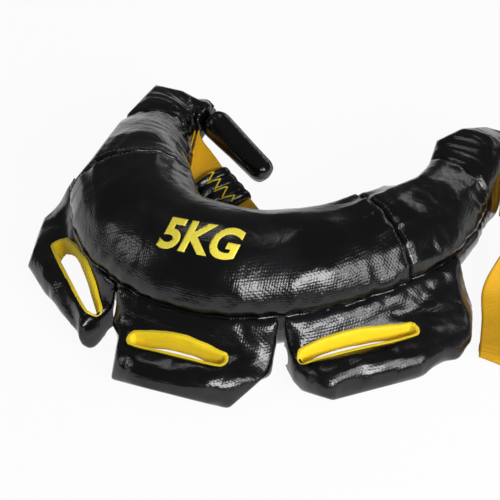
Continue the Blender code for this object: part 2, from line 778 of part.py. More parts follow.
def rest_on_origin(parts, cutters):
    """Hang every piece on one empty, and move that to put the footprint's middle at the origin."""
    bpy.context.view_layer.update()
    graph = bpy.context.evaluated_depsgraph_get()
    points = []
    for made in parts.objects:
        shown = made.evaluated_get(graph)
        points += [shown.matrix_world @ Vector(corner) for corner in shown.bound_box]
    low = [min(point[i] for point in points) for i in range(3)]
    high = [max(point[i] for point in points) for i in range(3)]
    origin = bpy.data.objects.new("bag_origin", None)
    for made in [*parts.objects, *cutters.objects]:
        made.parent = origin
    parts.objects.link(origin)
    origin.location = (-(low[0] + high[0]) / 2, -(low[1] + high[1]) / 2, -low[2])


build()
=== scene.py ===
import json
import math

import bmesh
import bpy
from mathutils import Matrix, Vector, noise
from mathutils.bvhtree import BVHTree


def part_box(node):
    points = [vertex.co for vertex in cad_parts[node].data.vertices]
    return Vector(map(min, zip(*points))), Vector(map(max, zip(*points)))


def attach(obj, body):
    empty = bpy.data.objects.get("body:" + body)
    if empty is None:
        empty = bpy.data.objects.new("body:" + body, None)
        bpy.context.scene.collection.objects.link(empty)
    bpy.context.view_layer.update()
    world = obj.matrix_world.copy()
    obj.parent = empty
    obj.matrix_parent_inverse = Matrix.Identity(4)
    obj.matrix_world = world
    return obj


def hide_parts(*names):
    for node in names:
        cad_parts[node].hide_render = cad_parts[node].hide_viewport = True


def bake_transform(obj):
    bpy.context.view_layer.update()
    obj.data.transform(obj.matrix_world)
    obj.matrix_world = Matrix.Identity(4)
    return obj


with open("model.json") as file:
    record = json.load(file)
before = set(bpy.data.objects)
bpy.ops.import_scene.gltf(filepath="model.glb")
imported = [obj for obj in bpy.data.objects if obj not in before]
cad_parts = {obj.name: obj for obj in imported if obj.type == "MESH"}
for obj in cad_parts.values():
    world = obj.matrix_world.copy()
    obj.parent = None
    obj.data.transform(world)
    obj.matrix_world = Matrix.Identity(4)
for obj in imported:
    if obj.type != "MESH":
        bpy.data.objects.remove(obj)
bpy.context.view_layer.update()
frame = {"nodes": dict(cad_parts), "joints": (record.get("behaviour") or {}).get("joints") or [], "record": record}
scene = bpy.context.scene

# The view. A long lens looks down on the bag from its front right, as a catalogue shot does.
# Pixels are counted in the 500 by 500 picture.
BEND_CENTRE = Vector((-0.051192, 0.026475, 0))
VIEW_TURN = math.radians(19.6)
VIEW_RISE = math.radians(38.5)
VIEW_DISTANCE = 1.9
PICTURE_PIXELS = 500
LENS_PIXELS = 1900
MIDDLE_PIXEL = (262.85, 244.2)
SENSOR_MM = 36
FAR_CLIP = 30


def link_object(name, data):
    """A new object of the scene, at the origin."""
    made = bpy.data.objects.new(name, data)
    scene.collection.objects.link(made)
    return made


back = Vector((
    math.sin(VIEW_TURN) * math.cos(VIEW_RISE),
    -math.cos(VIEW_TURN) * math.cos(VIEW_RISE),
    math.sin(VIEW_RISE),
))
right = Vector((math.cos(VIEW_TURN), math.sin(VIEW_TURN), 0))
up = back.cross(right)
eye = BEND_CENTRE + back * VIEW_DISTANCE
lens = bpy.data.cameras.new("view")
lens.sensor_width = SENSOR_MM
lens.lens = SENSOR_MM * LENS_PIXELS / PICTURE_PIXELS
lens.shift_x = (PICTURE_PIXELS / 2 - MIDDLE_PIXEL[0]) / PICTURE_PIXELS
lens.shift_y = (MIDDLE_PIXEL[1] - PICTURE_PIXELS / 2) / PICTURE_PIXELS
lens.clip_end = FAR_CLIP
camera = link_object("view", lens)
camera.matrix_world = Matrix.Translation(eye) @ Matrix((right, up, back)).transposed().to_4x4()
scene.camera = camera


# The studio: a sweep of white paper, a large softbox at the front right whose reflection makes
# the bright sheen on the coated cloth, smaller ones at the right and overhead, and thin strips
# at the left and behind that draw the rims.
SWEEP_WIDTH = 14.0
FLOOR_COLOUR = "#f4f4f4"
STUDIO_WHITE = "#ffffff"
SWEEP_GLOW_SHARE = 0.94
AMBIENT_STRENGTH = 0.10
LAMP_TARGET = Vector((0, 0, 0.05))
SOFTBOXES = {
    "key_softbox": dict(place=(1.35, -1.25, 0.98), size=(1.15, 0.60), power=36),
    "side_softbox": dict(place=(1.7, -0.35, 0.95), size=(0.35, 0.9), power=9),
    "top_softbox": dict(place=(-0.45, 0.5, 1.9), size=(0.9, 0.30), power=2.6),
    "left_strip": dict(place=(-1.7, -0.75, 0.75), size=(0.16, 0.8), power=2.5),
    "back_strip": dict(place=(0.5, 1.7, 0.9), size=(1.2, 0.16), power=2.6),
}


def linear(colour):
    """An sRGB hex colour as linear red, green, blue and alpha."""
    channels = [int(colour[i : i + 2], 16) / 255 for i in (1, 3, 5)]
    return (*[c / 12.92 if c <= 0.04045 else ((c + 0.055) / 1.055) ** 2.4 for c in channels], 1)


def new_finish(name):
    """A material with its node tree and its shader."""
    made = bpy.data.materials.new(name)
    made.use_nodes = True
    return made, made.node_tree, made.node_tree.nodes["Principled BSDF"]


def set_inputs(tree, node, inputs):
    """Set inputs of a node. Each is a value, or a socket that it is linked to."""
    for key, value in inputs.items():
        if isinstance(value, bpy.types.NodeSocket):
            tree.links.new(value, node.inputs[key])
        else:
            node.inputs[key].default_value = value


def add_node(tree, kind, inputs=None, **settings):
    """Add a shader node of a kind with its settings and its inputs."""
    made = tree.nodes.new("ShaderNode" + kind)
    for key, value in settings.items():
        setattr(made, key, value)
    set_inputs(tree, made, inputs or {})
    return made


def piece_from(bm, name, material, smooth=True):
    """Turn a bmesh into an object of one material."""
    mesh = bpy.data.meshes.new(name)
    bm.to_mesh(mesh)
    bm.free()
    mesh.materials.append(material)
    if smooth:
        mesh.shade_smooth()
    return link_object(name, mesh)


world = bpy.data.worlds.new("studio_air")
world.use_nodes = True
tree = world.node_tree
tree.nodes.clear()
air = add_node(tree, "Background", {
    "Color": linear(STUDIO_WHITE), "Strength": AMBIENT_STRENGTH})
add_node(tree, "OutputWorld", {"Surface": air.outputs[0]})
scene.world = world
scene.view_settings.view_transform = "Standard"

sweep_paint, tree, _ = new_finish("white_sweep_paper")
tree.nodes.clear()
path = add_node(tree, "LightPath")
seen = add_node(tree, "Math", {
    0: path.outputs["Is Camera Ray"], 1: path.outputs["Is Glossy Ray"]}, operation="MAXIMUM")
glow_share = add_node(tree, "Math", {
    0: seen.outputs[0], 1: SWEEP_GLOW_SHARE}, operation="MULTIPLY")
paper = add_node(tree, "BsdfDiffuse", {"Color": linear(FLOOR_COLOUR)})
glow = add_node(tree, "Emission", {"Color": linear(STUDIO_WHITE), "Strength": 1.0})
sweep_mix = add_node(tree, "MixShader", {
    0: glow_share.outputs[0], 1: paper.outputs[0], 2: glow.outputs[0]})
add_node(tree, "OutputMaterial", {"Surface": sweep_mix.outputs[0]})
bm = bmesh.new()
bmesh.ops.create_grid(bm, x_segments=1, y_segments=1, size=SWEEP_WIDTH / 2)
sweep = piece_from(bm, "studio_floor", sweep_paint, smooth=False)

for name, box in SOFTBOXES.items():
    lamp = bpy.data.lights.new(name, "AREA")
    lamp.shape = "RECTANGLE"
    lamp.size, lamp.size_y = box["size"]
    lamp.energy = box["power"]
    softbox = link_object(name, lamp)
    softbox.location = box["place"]
    softbox.rotation_euler = (LAMP_TARGET - softbox.location).to_track_quat("-Z", "Y").to_euler()


# The cloth of the casing: woven polyester scrim with a black PU coat, calendered glossy, which
# gives sharp highlights on deep black. The scrim's threads print through as fine dots, drawn
# at about 2.3 mm so that they show, and handling leaves dull smudges and fine creases.
SCRIM_PITCH_MM = 2.3
SCRIM_UNEVENNESS = 0.06
GRAIN_MM = 2.381
CREASE_MM = 30
SMUDGE_MM = 70
COAT_COLOUR = "#0a090b"
COAT_WORN_COLOUR = "#18171a"
COAT_LEAST_ROUGHNESS = 0.12
COAT_MOST_ROUGHNESS = 0.21
SCRIM_DULLING = 0.08
COAT_IOR = 1.5

coated_cloth, tree, shader = new_finish("black_pu_coated_scrim")
spot = add_node(tree, "TexCoord").outputs["Object"]
scrim = add_node(tree, "TexVoronoi", {
    "Vector": spot, "Scale": 1000 / SCRIM_PITCH_MM, "Randomness": SCRIM_UNEVENNESS})
smudge = add_node(tree, "TexNoise", {
    "Vector": spot, "Scale": 1000 / SMUDGE_MM, "Detail": 5.0, "Roughness": 0.6})
crease = add_node(tree, "TexNoise", {
    "Vector": spot, "Scale": 1000 / CREASE_MM, "Detail": 4.0, "Roughness": 0.55, "Distortion": 0.6})
fine = add_node(tree, "TexNoise", {
    "Vector": spot, "Scale": 1000 / GRAIN_MM, "Detail": 2.0})
dull = add_node(tree, "MapRange", {
    "Value": smudge.outputs["Fac"], "From Min": 0.35, "From Max": 0.75,
    "To Min": COAT_LEAST_ROUGHNESS, "To Max": COAT_MOST_ROUGHNESS})
threads = add_node(tree, "Math", {
    0: scrim.outputs["Distance"], 1: SCRIM_DULLING, 2: dull.outputs["Result"]},
    operation="MULTIPLY_ADD")
worn = add_node(tree, "MapRange", {
    "Value": smudge.outputs["Fac"], "From Min": 0.52, "From Max": 0.82})
shade = add_node(tree, "Mix", {
    "Factor": worn.outputs["Result"], "A": linear(COAT_COLOUR), "B": linear(COAT_WORN_COLOUR)},
    data_type="RGBA")
folds = add_node(tree, "Bump", {
    "Height": crease.outputs["Fac"], "Strength": 0.30, "Distance": 0.004})
grain = add_node(tree, "Bump", {
    "Height": fine.outputs["Fac"], "Strength": 0.10, "Distance": 0.0004,
    "Normal": folds.outputs["Normal"]})
weave = add_node(tree, "Bump", {
    "Height": scrim.outputs["Distance"], "Strength": 0.30, "Distance": 0.0005,
    "Normal": grain.outputs["Normal"]}, invert=True)
set_inputs(tree, shader, {
    "Base Color": shade.outputs["Result"], "Roughness": threads.outputs[0], "IOR": COAT_IOR,
    "Normal": weave.outputs["Normal"]})


# The crescent: six panels of that cloth, three above and three below, lock-stitched along the
# outer edge, the inner edge and two cross seams, turned right side out and stuffed. The
# stitching pulls the cloth into short puckers beside each seam.
BEND_RADIUS = 0.128
BODY_WIDTH = 0.130
BODY_HEIGHT = 0.128
SEAM_ANGLE = 5
CROSS_SEAM_STATION = 2
HORN_STATION = 4
# Each section's centre and lift are given in bend radii and heights, then its width and height.
LEFT_SECTION_SHARES = (
    (-0.574, -0.819, 0.469, 0.985, 0.984),
    (-0.912, -0.369, 0.461, 0.938, 0.938),
    (-1.052, 0.125, 0.445, 0.735, 0.766),
    (-1.118, 0.600, 0.385, 0.508, 0.450),
)
MIDDLE_SECTION_SHARES = (0, -1, 0.469, 1, 1)
RIGHT_SECTION_SHARES = (
    (0.555, -0.794, 0.461, 0.923, 0.938),
    (1.016, -0.328, 0.445, 0.846, 0.859),
    (1.250, 0.094, 0.438, 0.754, 0.766),
    (1.359, 0.516, 0.445, 0.646, 0.656),
)
CLOTH_THICKNESS = 0.0014
CLOTH_SPACING = 0.0026
WELD_GAP = 0.00002
UPWARD = Vector((0, 0, 1))
FLOOR_CLEARANCE = 0.0004
SEAM_DIP = 0.0026
SEAM_DIP_WIDTH = 0.0034
# Gathers beside a seam: their height, how far they reach from it, and their pitch along it.
OUTER_EDGE_GATHER = (0.0022, 0.018, 0.013)
INNER_EDGE_GATHER = (0.0024, 0.026, 0.013)
CROSS_SEAM_GATHER = (0.0026, 0.026, 0.020)
FOLD_SHARPNESS = 2.4
SLACK_SWELL = 0.0026
SLACK_FOLD = 0.0012
SLACK_SEED = 3.1
RUN_STEPS = 50
# Lines of pixels that the cloth of each horn stays within, and a pixel inside them.
HORN_OUTLINES = (
    (((64, 193), (90, 162), (120, 122), (156, 85), (182, 91), (208, 105)), (170, 180)),
    (((385, 190), (418, 177), (429, 166), (437, 141), (462, 129), (498, 126)), (450, 220)),
)
DRAW_IN_SHARE = 0.92
PANEL_SPANS = {
    "left": (-HORN_STATION, -CROSS_SEAM_STATION),
    "centre": (-CROSS_SEAM_STATION, CROSS_SEAM_STATION),
    "right": (CROSS_SEAM_STATION, HORN_STATION),
}

sections = [
    (x * BEND_RADIUS, y * BEND_RADIUS, lift * BODY_HEIGHT, width * BODY_WIDTH, height * BODY_HEIGHT)
    for x, y, lift, width, height in
    (*LEFT_SECTION_SHARES[::-1], MIDDLE_SECTION_SHARES, *RIGHT_SECTION_SHARES)
]


def smooth_row(rows, t):
    """Catmull-Rom through rows of numbers, at t counted in rows."""
    i = min(max(int(math.floor(t)), 0), len(rows) - 2)
    u = t - i
    before = rows[i - 1] if i else [2 * a - b for a, b in zip(rows[0], rows[1])]
    after = rows[i + 2] if i + 2 < len(rows) else [2 * a - b for a, b in zip(rows[-1], rows[-2])]
    mixed = []
    for p, a, b, q in zip(before, rows[i], rows[i + 1], after):
        bend = (2 * p - 5 * a + 4 * b - q) * u + (3 * (a - b) + q - p) * u * u
        mixed.append(a + (b - p + bend) * u / 2)
    return mixed


def section_at(station, nudge=0.01):
    """Centre, way along, way outward, half width and half height of the crescent."""
    x, y, z, width, height = smooth_row(sections, station + HORN_STATION)
    ahead = smooth_row(sections, station + HORN_STATION + nudge)
    behind = smooth_row(sections, station + HORN_STATION - nudge)
    along = Vector((ahead[0] - behind[0], ahead[1] - behind[1], 0)).normalized()
    outward = along.cross(UPWARD)
    return BEND_CENTRE + Vector((x, y, z)), along, outward, width / 2, height / 2


def stay_on_floor(point):
    """Lift a point that is below the floor up to it."""
    point.z = max(point.z, FLOOR_CLEARANCE)
    return point


def crescent_point(station, degrees):
    """A point of the crescent's skin. Zero degrees is its outer edge and 90 its top."""
    centre, _, outward, half_width, half_height = section_at(station)
    angle = math.radians(degrees)
    point = centre + outward * half_width * math.cos(angle)
    point.z += half_height * math.sin(angle)
    return stay_on_floor(point)


def run_to(station):
    """How far along the crescent's centre line a station lies, from the middle."""
    steps = max(1, int(abs(station) * 12))
    line = [section_at(station * i / steps)[0] for i in range(steps + 1)]
    return math.copysign(sum((b - a).length for a, b in zip(line, line[1:])), station)


def grid_object(name, columns, rows, place, material, uv=None, merge=False):
    """A grid whose points are put in place by a function of two shares from 0 to 1."""
    bm = bmesh.new()
    bmesh.ops.create_grid(bm, x_segments=columns, y_segments=rows, size=0.5)
    if uv:
        layer = bm.loops.layers.uv.new("cloth")
        for face in bm.faces:
            for loop in face.loops:
                loop[layer].uv = uv(loop.vert.co.x + 0.5, loop.vert.co.y + 0.5)
    for vert in bm.verts:
        vert.co = place(vert.co.x + 0.5, vert.co.y + 0.5)
    if merge:
        bmesh.ops.remove_doubles(bm, verts=bm.verts, dist=WELD_GAP)
    return piece_from(bm, name, material)


def face_outward(made, inside):
    """Turn the faces round if most of them look towards a point inside."""
    mesh = made.data
    facing = sum((face.center - inside).dot(face.normal) * face.area for face in mesh.polygons)
    if facing < 0:
        mesh.flip_normals()


def thicken(made, thickness, offset=-1):
    """Give the cloth its thickness, by default inwards from its face."""
    wall = made.modifiers.new("cloth_thickness", "SOLIDIFY")
    wall.thickness = thickness
    wall.offset = offset


def fold(place):
    """A ridge of creased cloth, sharp where the noise crosses zero."""
    return 1 - FOLD_SHARPNESS * abs(noise.noise(place))


def pucker(along, from_seam, gather, seed):
    """Height of the gathers beside a seam, at a run along it and a distance from it."""
    height, reach, pitch = gather
    fade = math.exp(-from_seam / reach)
    wander = 0.25 * noise.noise(Vector((from_seam / reach, seed, 0)))
    ridge = fold(Vector((along / pitch + wander, 0.35 * from_seam / reach, seed)))
    return height * (fade * ridge)


def dip(from_seam):
    """Depth of the groove that the stitches pull into the cloth."""
    return -SEAM_DIP * math.exp(-((from_seam / SEAM_DIP_WIDTH) ** 2))


def slack(point):
    """The slow swell and hollow of a stuffed casing."""
    swell = noise.noise(point * 15 + Vector((SLACK_SEED, 0, 0)))
    return SLACK_SWELL * swell + SLACK_FOLD * fold(point * 19 + Vector((0, SLACK_SEED, 0)))


run_table = [run_to(i / RUN_STEPS - HORN_STATION) for i in range(2 * HORN_STATION * RUN_STEPS + 1)]


def panel_height(station, degrees, point):
    """Height of the cloth over the plain crescent, from its slack, seams and gathers."""
    _, _, _, half_width, half_height = section_at(station)
    girth = math.radians(1) * (half_width + half_height) / 2
    run = run_table[min(max(int((station + HORN_STATION) * RUN_STEPS), 0), len(run_table) - 1)]
    from_outer = girth * min(abs(degrees - SEAM_ANGLE), abs(degrees - 360 - SEAM_ANGLE))
    from_inner = girth * abs(degrees - 180)
    height = slack(point)
    height += dip(from_outer) + pucker(run, from_outer, OUTER_EDGE_GATHER, 1.7)
    height += dip(from_inner) + pucker(run, from_inner, INNER_EDGE_GATHER, 5.3)
    around = math.radians(min(degrees, 360 + 2 * SEAM_ANGLE - degrees)) * half_width
    for seam in (-CROSS_SEAM_STATION, CROSS_SEAM_STATION, -HORN_STATION, HORN_STATION):
        from_seam = abs(run - run_table[int((seam + HORN_STATION) * RUN_STEPS)])
        height += dip(from_seam) + pucker(around, from_seam, CROSS_SEAM_GATHER, seam + 9.0)
    return height


def pixel_of(place):
    """Where a place shows in the picture, and how far it is from the eye."""
    away = place - eye
    depth = -away.dot(back)
    across = MIDDLE_PIXEL[0] + LENS_PIXELS * away.dot(right) / depth
    return Vector((across, MIDDLE_PIXEL[1] - LENS_PIXELS * away.dot(up) / depth)), depth


def draw_in(made, outline, inside, ramp=12, most=14):
    """Draw the cloth that shows past a line of pixels back to it, as a tight seam does."""
    corners = [Vector(corner) for corner in outline]
    middle = Vector(inside)
    for vert in made.data.vertices:
        seen, depth = pixel_of(vert.co)
        best = None
        past = 0
        for a, b in zip(corners, corners[1:]):
            run = (b - a).length
            along = (seen - a).dot(b - a) / run
            near = a + (b - a) * min(max(along / run, 0), 1)
            gap = (near - seen).length
            if best is None or gap < best[0]:
                normal = Vector(((b - a).y, (a - b).x))
                if normal.dot(middle - a) > 0:
                    normal = -normal
                best = (gap, near, (seen - near).dot(normal) > 0, past + min(max(along, 0), run))
            past += run
        gap, near, outside, place = best
        if not outside or gap > most:
            continue
        share = DRAW_IN_SHARE * min(1, place / ramp, (past - place) / ramp)
        move = (near - seen) * share * depth / LENS_PIXELS
        vert.co += right * move.x - up * move.y
        stay_on_floor(vert.co)
    made.data.update()


def draw_in_horns(made):
    """Draw a piece in to the outlines of both horns."""
    for outline, inside in HORN_OUTLINES:
        draw_in(made, outline, inside)


def make_panel(name, first, last, low, high):
    """One panel between two seams of the crescent, with its puckers and a cloth's thickness."""
    columns = int(abs(run_to(last) - run_to(first)) / CLOTH_SPACING)
    rows = int(math.pi * BODY_WIDTH / 2 / CLOTH_SPACING)

    def place(across, along):
        station = first + (last - first) * across
        degrees = low + (high - low) * along
        point = crescent_point(station, degrees)
        out = (point - section_at(station)[0]).normalized()
        return stay_on_floor(point + out * panel_height(station, degrees, point))

    made = grid_object(name, columns, rows, place, coated_cloth)
    face_outward(made, section_at((first + last) / 2)[0])
    draw_in_horns(made)
    thicken(made, CLOTH_THICKNESS)
    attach(made, "bag")
    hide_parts(name.replace("_cloth", ""))
    return made


top_panels = {}
for part, (first, last) in PANEL_SPANS.items():
    top_panels[part] = make_panel(f"top_panel_{part}_cloth", first, last, SEAM_ANGLE, 180)
    make_panel(f"underside_panel_{part}_cloth", first, last, 180, 360 + SEAM_ANGLE)


# The horn hoods: a folded elbow of the same cloth over each end of the crescent, boxy at its
# far corner, drawn together where the hand grip is sewn into it.
# Each ring is given by its place ahead, aside and up, its turn, its width and its height.
HOOD_SHARES = {
    "left": (
        (0, 0, 0, 0, 1, 1),
        (0.33, 0.01, 0, 12, 0.99, 0.98),
        (0.66, 0.14, -0.03, 42, 1.08, 0.86),
        (0.72, 0.47, -0.03, 80, 0.72, 0.70),
        (0.50, 0.70, -0.01, 118, 0.42, 0.56),
    ),
    "right": (
        (0, 0, 0, 0, 1, 1),
        (0.31, -0.03, 0.04, -9, 0.95, 0.97),
        (0.59, -0.10, 0.09, -8, 0.88, 0.93),
        (0.83, -0.06, 0.09, 15, 0.70, 0.74),
        (1.09, 0.22, 0.02, 40, 0.42, 0.46),
    ),
}
HOOD_SQUARENESS = 3.4
HOOD_CLOSE_SHARE = 0.35
HOOD_DOME = 0.0016
HOOD_OVERLAP = 0.02
HOOD_RING_RUN = 0.0345
HOOD_FOLD = 0.0026
HOOD_CRUMPLE = 0.0007
HOOD_ROOT_GATHER = 0.0012
HOOD_ROOT_GATHERS = 9
HOOD_MOUTH_GATHER = (0.0014, 0.016, 0.014)
# Pixels at which the stuffed corners show, and how far round each the cloth is drawn out.
HOOD_CORNERS = {
    "left": (((156, 86), 0.008), ((128, 112), 0.010), ((197, 108), 0.008)),
    "right": (((437, 141), 0.008), ((484, 131), 0.010)),
}
HOOD_DRAW_MOST = 0.012


def hood_section(shares, side, t):
    """Centre, way across, way it faces and half sizes of the hood at ring t."""
    centre, along, _, half_width, half_height = section_at(side * HORN_STATION)
    forward = along * side
    aside = forward.cross(UPWARD)
    ahead, across, lift, turn, wide, high = smooth_row(shares, t)
    place = centre + (forward * ahead + aside * across + Vector((0, 0, lift))) * 2 * half_width
    angle = math.radians(turn)
    ring_across = aside * math.cos(angle) - forward * math.sin(angle)
    facing = forward * math.cos(angle) + aside * math.sin(angle)
    return place, ring_across, facing, wide * half_width, high * half_height


def hood_point(shares, side, t, degrees):
    """A point of the hood. Past its last ring the cloth closes round the grip's root."""
    last = len(shares) - 1
    place, across, facing, half_width, half_height = hood_section(shares, side, min(t, last))
    power = 2 + (HOOD_SQUARENESS - 2) * min(max(t, 0), 1)
    angle = math.radians(degrees)
    cos, sin = math.cos(angle), math.sin(angle)
    wide = math.copysign(abs(cos) ** (2 / power), cos) * half_width
    high = math.copysign(abs(sin) ** (2 / power), sin) * half_height
    closing = max(0, t - last) / HOOD_CLOSE_SHARE
    shrink = 1 - closing
    dome = HOOD_DOME * math.sin(closing * math.pi / 2)
    from_middle = across * side * wide + Vector((0, 0, high))
    point = place + from_middle * shrink + facing * (dome - HOOD_DOME)

    slow = noise.noise(Vector((t * 0.9, cos * 1.3, sin * 1.3 + side * 7)))
    crumple = fold(Vector((t * 1.9, cos * 1.9, sin * 1.9 - side * 3)))
    swell = (HOOD_FOLD * slow + HOOD_CRUMPLE * crumple) * min(1, max(0, t * 1.5))
    gather = math.cos(angle * HOOD_ROOT_GATHERS + side) * math.exp(-abs(t - last) / 0.35)
    swell += HOOD_ROOT_GATHER * gather * shrink
    from_mouth = abs(t) * HOOD_RING_RUN
    around = min(angle, 2 * math.pi - angle) * half_width
    puckers = pucker(around, from_mouth, HOOD_MOUTH_GATHER, 20 + side) * min(1, shrink)
    swell += dip(from_mouth) + puckers
    return stay_on_floor(point + from_middle.normalized() * swell)


def pixel_ray(across, down):
    """The direction from the eye through a pixel of the picture."""
    aside = right * (across - MIDDLE_PIXEL[0]) / LENS_PIXELS
    below = up * (down - MIDDLE_PIXEL[1]) / LENS_PIXELS
    return (aside - below - back).normalized()


def draw_out(made, pixel, reach, most):
    """Draw the cloth nearest a pixel's ray out to that ray, as a stuffed corner stands out."""
    ray = pixel_ray(*pixel)
    verts = made.data.vertices
    gaps = [eye + ray * (vert.co - eye).dot(ray) - vert.co for vert in verts]
    nearest = min(range(len(verts)), key=lambda i: gaps[i].length)
    shift, spot = gaps[nearest].copy(), verts[nearest].co.copy()
    if shift.length > most:
        shift *= most / shift.length
    for vert in verts:
        vert.co += shift * math.exp(-(((vert.co - spot).length / reach) ** 2))
        stay_on_floor(vert.co)
    made.data.update()


for side_name, side in (("left", -1), ("right", 1)):
    shares = HOOD_SHARES[side_name]
    rings = len(shares) - 1 + HOOD_CLOSE_SHARE

    def place(along, around):
        t = -HOOD_OVERLAP + (rings + HOOD_OVERLAP) * along
        return hood_point(shares, side, t, 360 * around)

    hood = grid_object(f"{side_name}_end_hood_cloth", 60, 84, place, coated_cloth, merge=True)
    face_outward(hood, hood_section(shares, side, 1)[0])
    for pixel, reach in HOOD_CORNERS[side_name]:
        draw_out(hood, pixel, reach, HOOD_DRAW_MOST)
    draw_in_horns(hood)
    thicken(hood, CLOTH_THICKNESS)
    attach(hood, "bag")
    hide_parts(f"{side_name}_end_hood")


# What fills it: three canvas liners packed with sand and rubber crumb inside the crescent, and
# stiff foam rolls inside each grip and each side handle's roll. None of it shows when sewn up.
# The canvas is matt, with painted shade in the gaps between its threads.
# The foam is matt, with painted shade in its open cells.
LINER_INSET = 0.0045
CORE_INSET = 0.0008
STUFFING_FINISHES = {
    "cotton_canvas_liner": dict(
        near="#8d877c", far="#6f6a60", cell_mm=1.2, unevenness=0.2, roughness=0.9, relief=0.0004),
    "open_cell_foam": dict(
        near="#3f4043", far="#6d6e72", cell_mm=1.6, unevenness=1.0, roughness=0.95, relief=0.0006),
}

stuffing_finishes = {}
for name, look in STUFFING_FINISHES.items():
    stuffing_finishes[name], tree, shader = new_finish(name)
    spot = add_node(tree, "TexCoord").outputs["Object"]
    cells = add_node(tree, "TexVoronoi", {
        "Vector": spot, "Scale": 1000 / look["cell_mm"], "Randomness": look["unevenness"]})
    # Mixing the two colours by distance from each cell's middle paints shade into the canvas's thread gaps and the
    # foam's cells.
    tint = add_node(tree, "Mix", {
        "Factor": cells.outputs["Distance"], "A": linear(look["near"]), "B": linear(look["far"])},
        data_type="RGBA")
    rise = add_node(tree, "Bump", {
        "Height": cells.outputs["Distance"], "Distance": look["relief"]})
    set_inputs(tree, shader, {
        "Base Color": tint.outputs["Result"], "Roughness": look["roughness"],
        "Normal": rise.outputs["Normal"]})
canvas, foam = stuffing_finishes.values()


def body_of_node(node):
    for body, members in frame["record"]["behaviour"]["bodies"].items():
        if node in members:
            return body


def relax(made, times, factor=0.5):
    """Let the cloth even out, a point moving towards its neighbours each time."""
    bm = bmesh.new()
    bm.from_mesh(made.data)
    for _ in range(times):
        bmesh.ops.smooth_vert(
            bm, verts=bm.verts, factor=factor, use_axis_x=True, use_axis_y=True, use_axis_z=True)
    bm.to_mesh(made.data)
    bm.free()


def merged_solids(*nodes):
    """The solids of some nodes as one bmesh, with their doubled points merged."""
    bm = bmesh.new()
    for node in nodes:
        bm.from_mesh(frame["nodes"][node].data)
    bmesh.ops.remove_doubles(bm, verts=bm.verts, dist=WELD_GAP)
    return bm


def filling(node, material, inset):
    """A stuffed inner piece, softened from its solid and drawn in from the cover round it."""
    bm = merged_solids(node)
    bm.normal_update()
    for vert in bm.verts:
        vert.co -= vert.normal * inset
    made = piece_from(bm, f"{node}_stuffing", material)
    relax(made, 1, 0.3)
    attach(made, body_of_node(node))
    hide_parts(node)


for part in PANEL_SPANS:
    filling(f"fill_bag_{part}", canvas, LINER_INSET)
for side_name in ("left", "right"):
    filling(f"{side_name}_grip_core", foam, CORE_INSET)
for side_name in ("left", "centre", "right"):
    filling(f"{side_name}_side_handle_core", foam, CORE_INSET)


# The hand grips: a tube of the cloth gathered at its root, rolled tight round the foam, with
# the end folded in and stitched flat. Both have flopped over onto the floor.
GRIP_RADIUS = 0.0155
GRIP_LENGTH = 0.074
GRIP_TIP_ROUND = 0.013
GRIP_TIP_DEPTH = 0.003
GRIP_ROOT_LENGTH = 0.015
GRIP_ROOT_SWELL = 0.05
GRIP_TAPER = 0.14
GRIP_GATHER = 0.0008
GRIP_TIP_GATHER = 0.0007
GRIP_FOLD = 0.0010
GRIP_SEAM_ANGLE = 2.2
GRIP_SEAM_WIDTH = 0.10
GRIP_SEAM_DIP = 0.0009
GRIP_PULL_IN = 0.0006
# Shares of the cloth's rows at which the root's dome ends, the tip's round and its fold start.
GRIP_ROOT_END = 0.2
GRIP_TIP_START = 0.8
GRIP_TIP_FOLD_START = 0.9


def joint_of(body):
    """Where the joint of a body sits, and its axis."""
    joint = next(j for j in frame["joints"] if j["child"] == body)
    return Vector(joint["pos_m"]), Vector(joint["axis"])


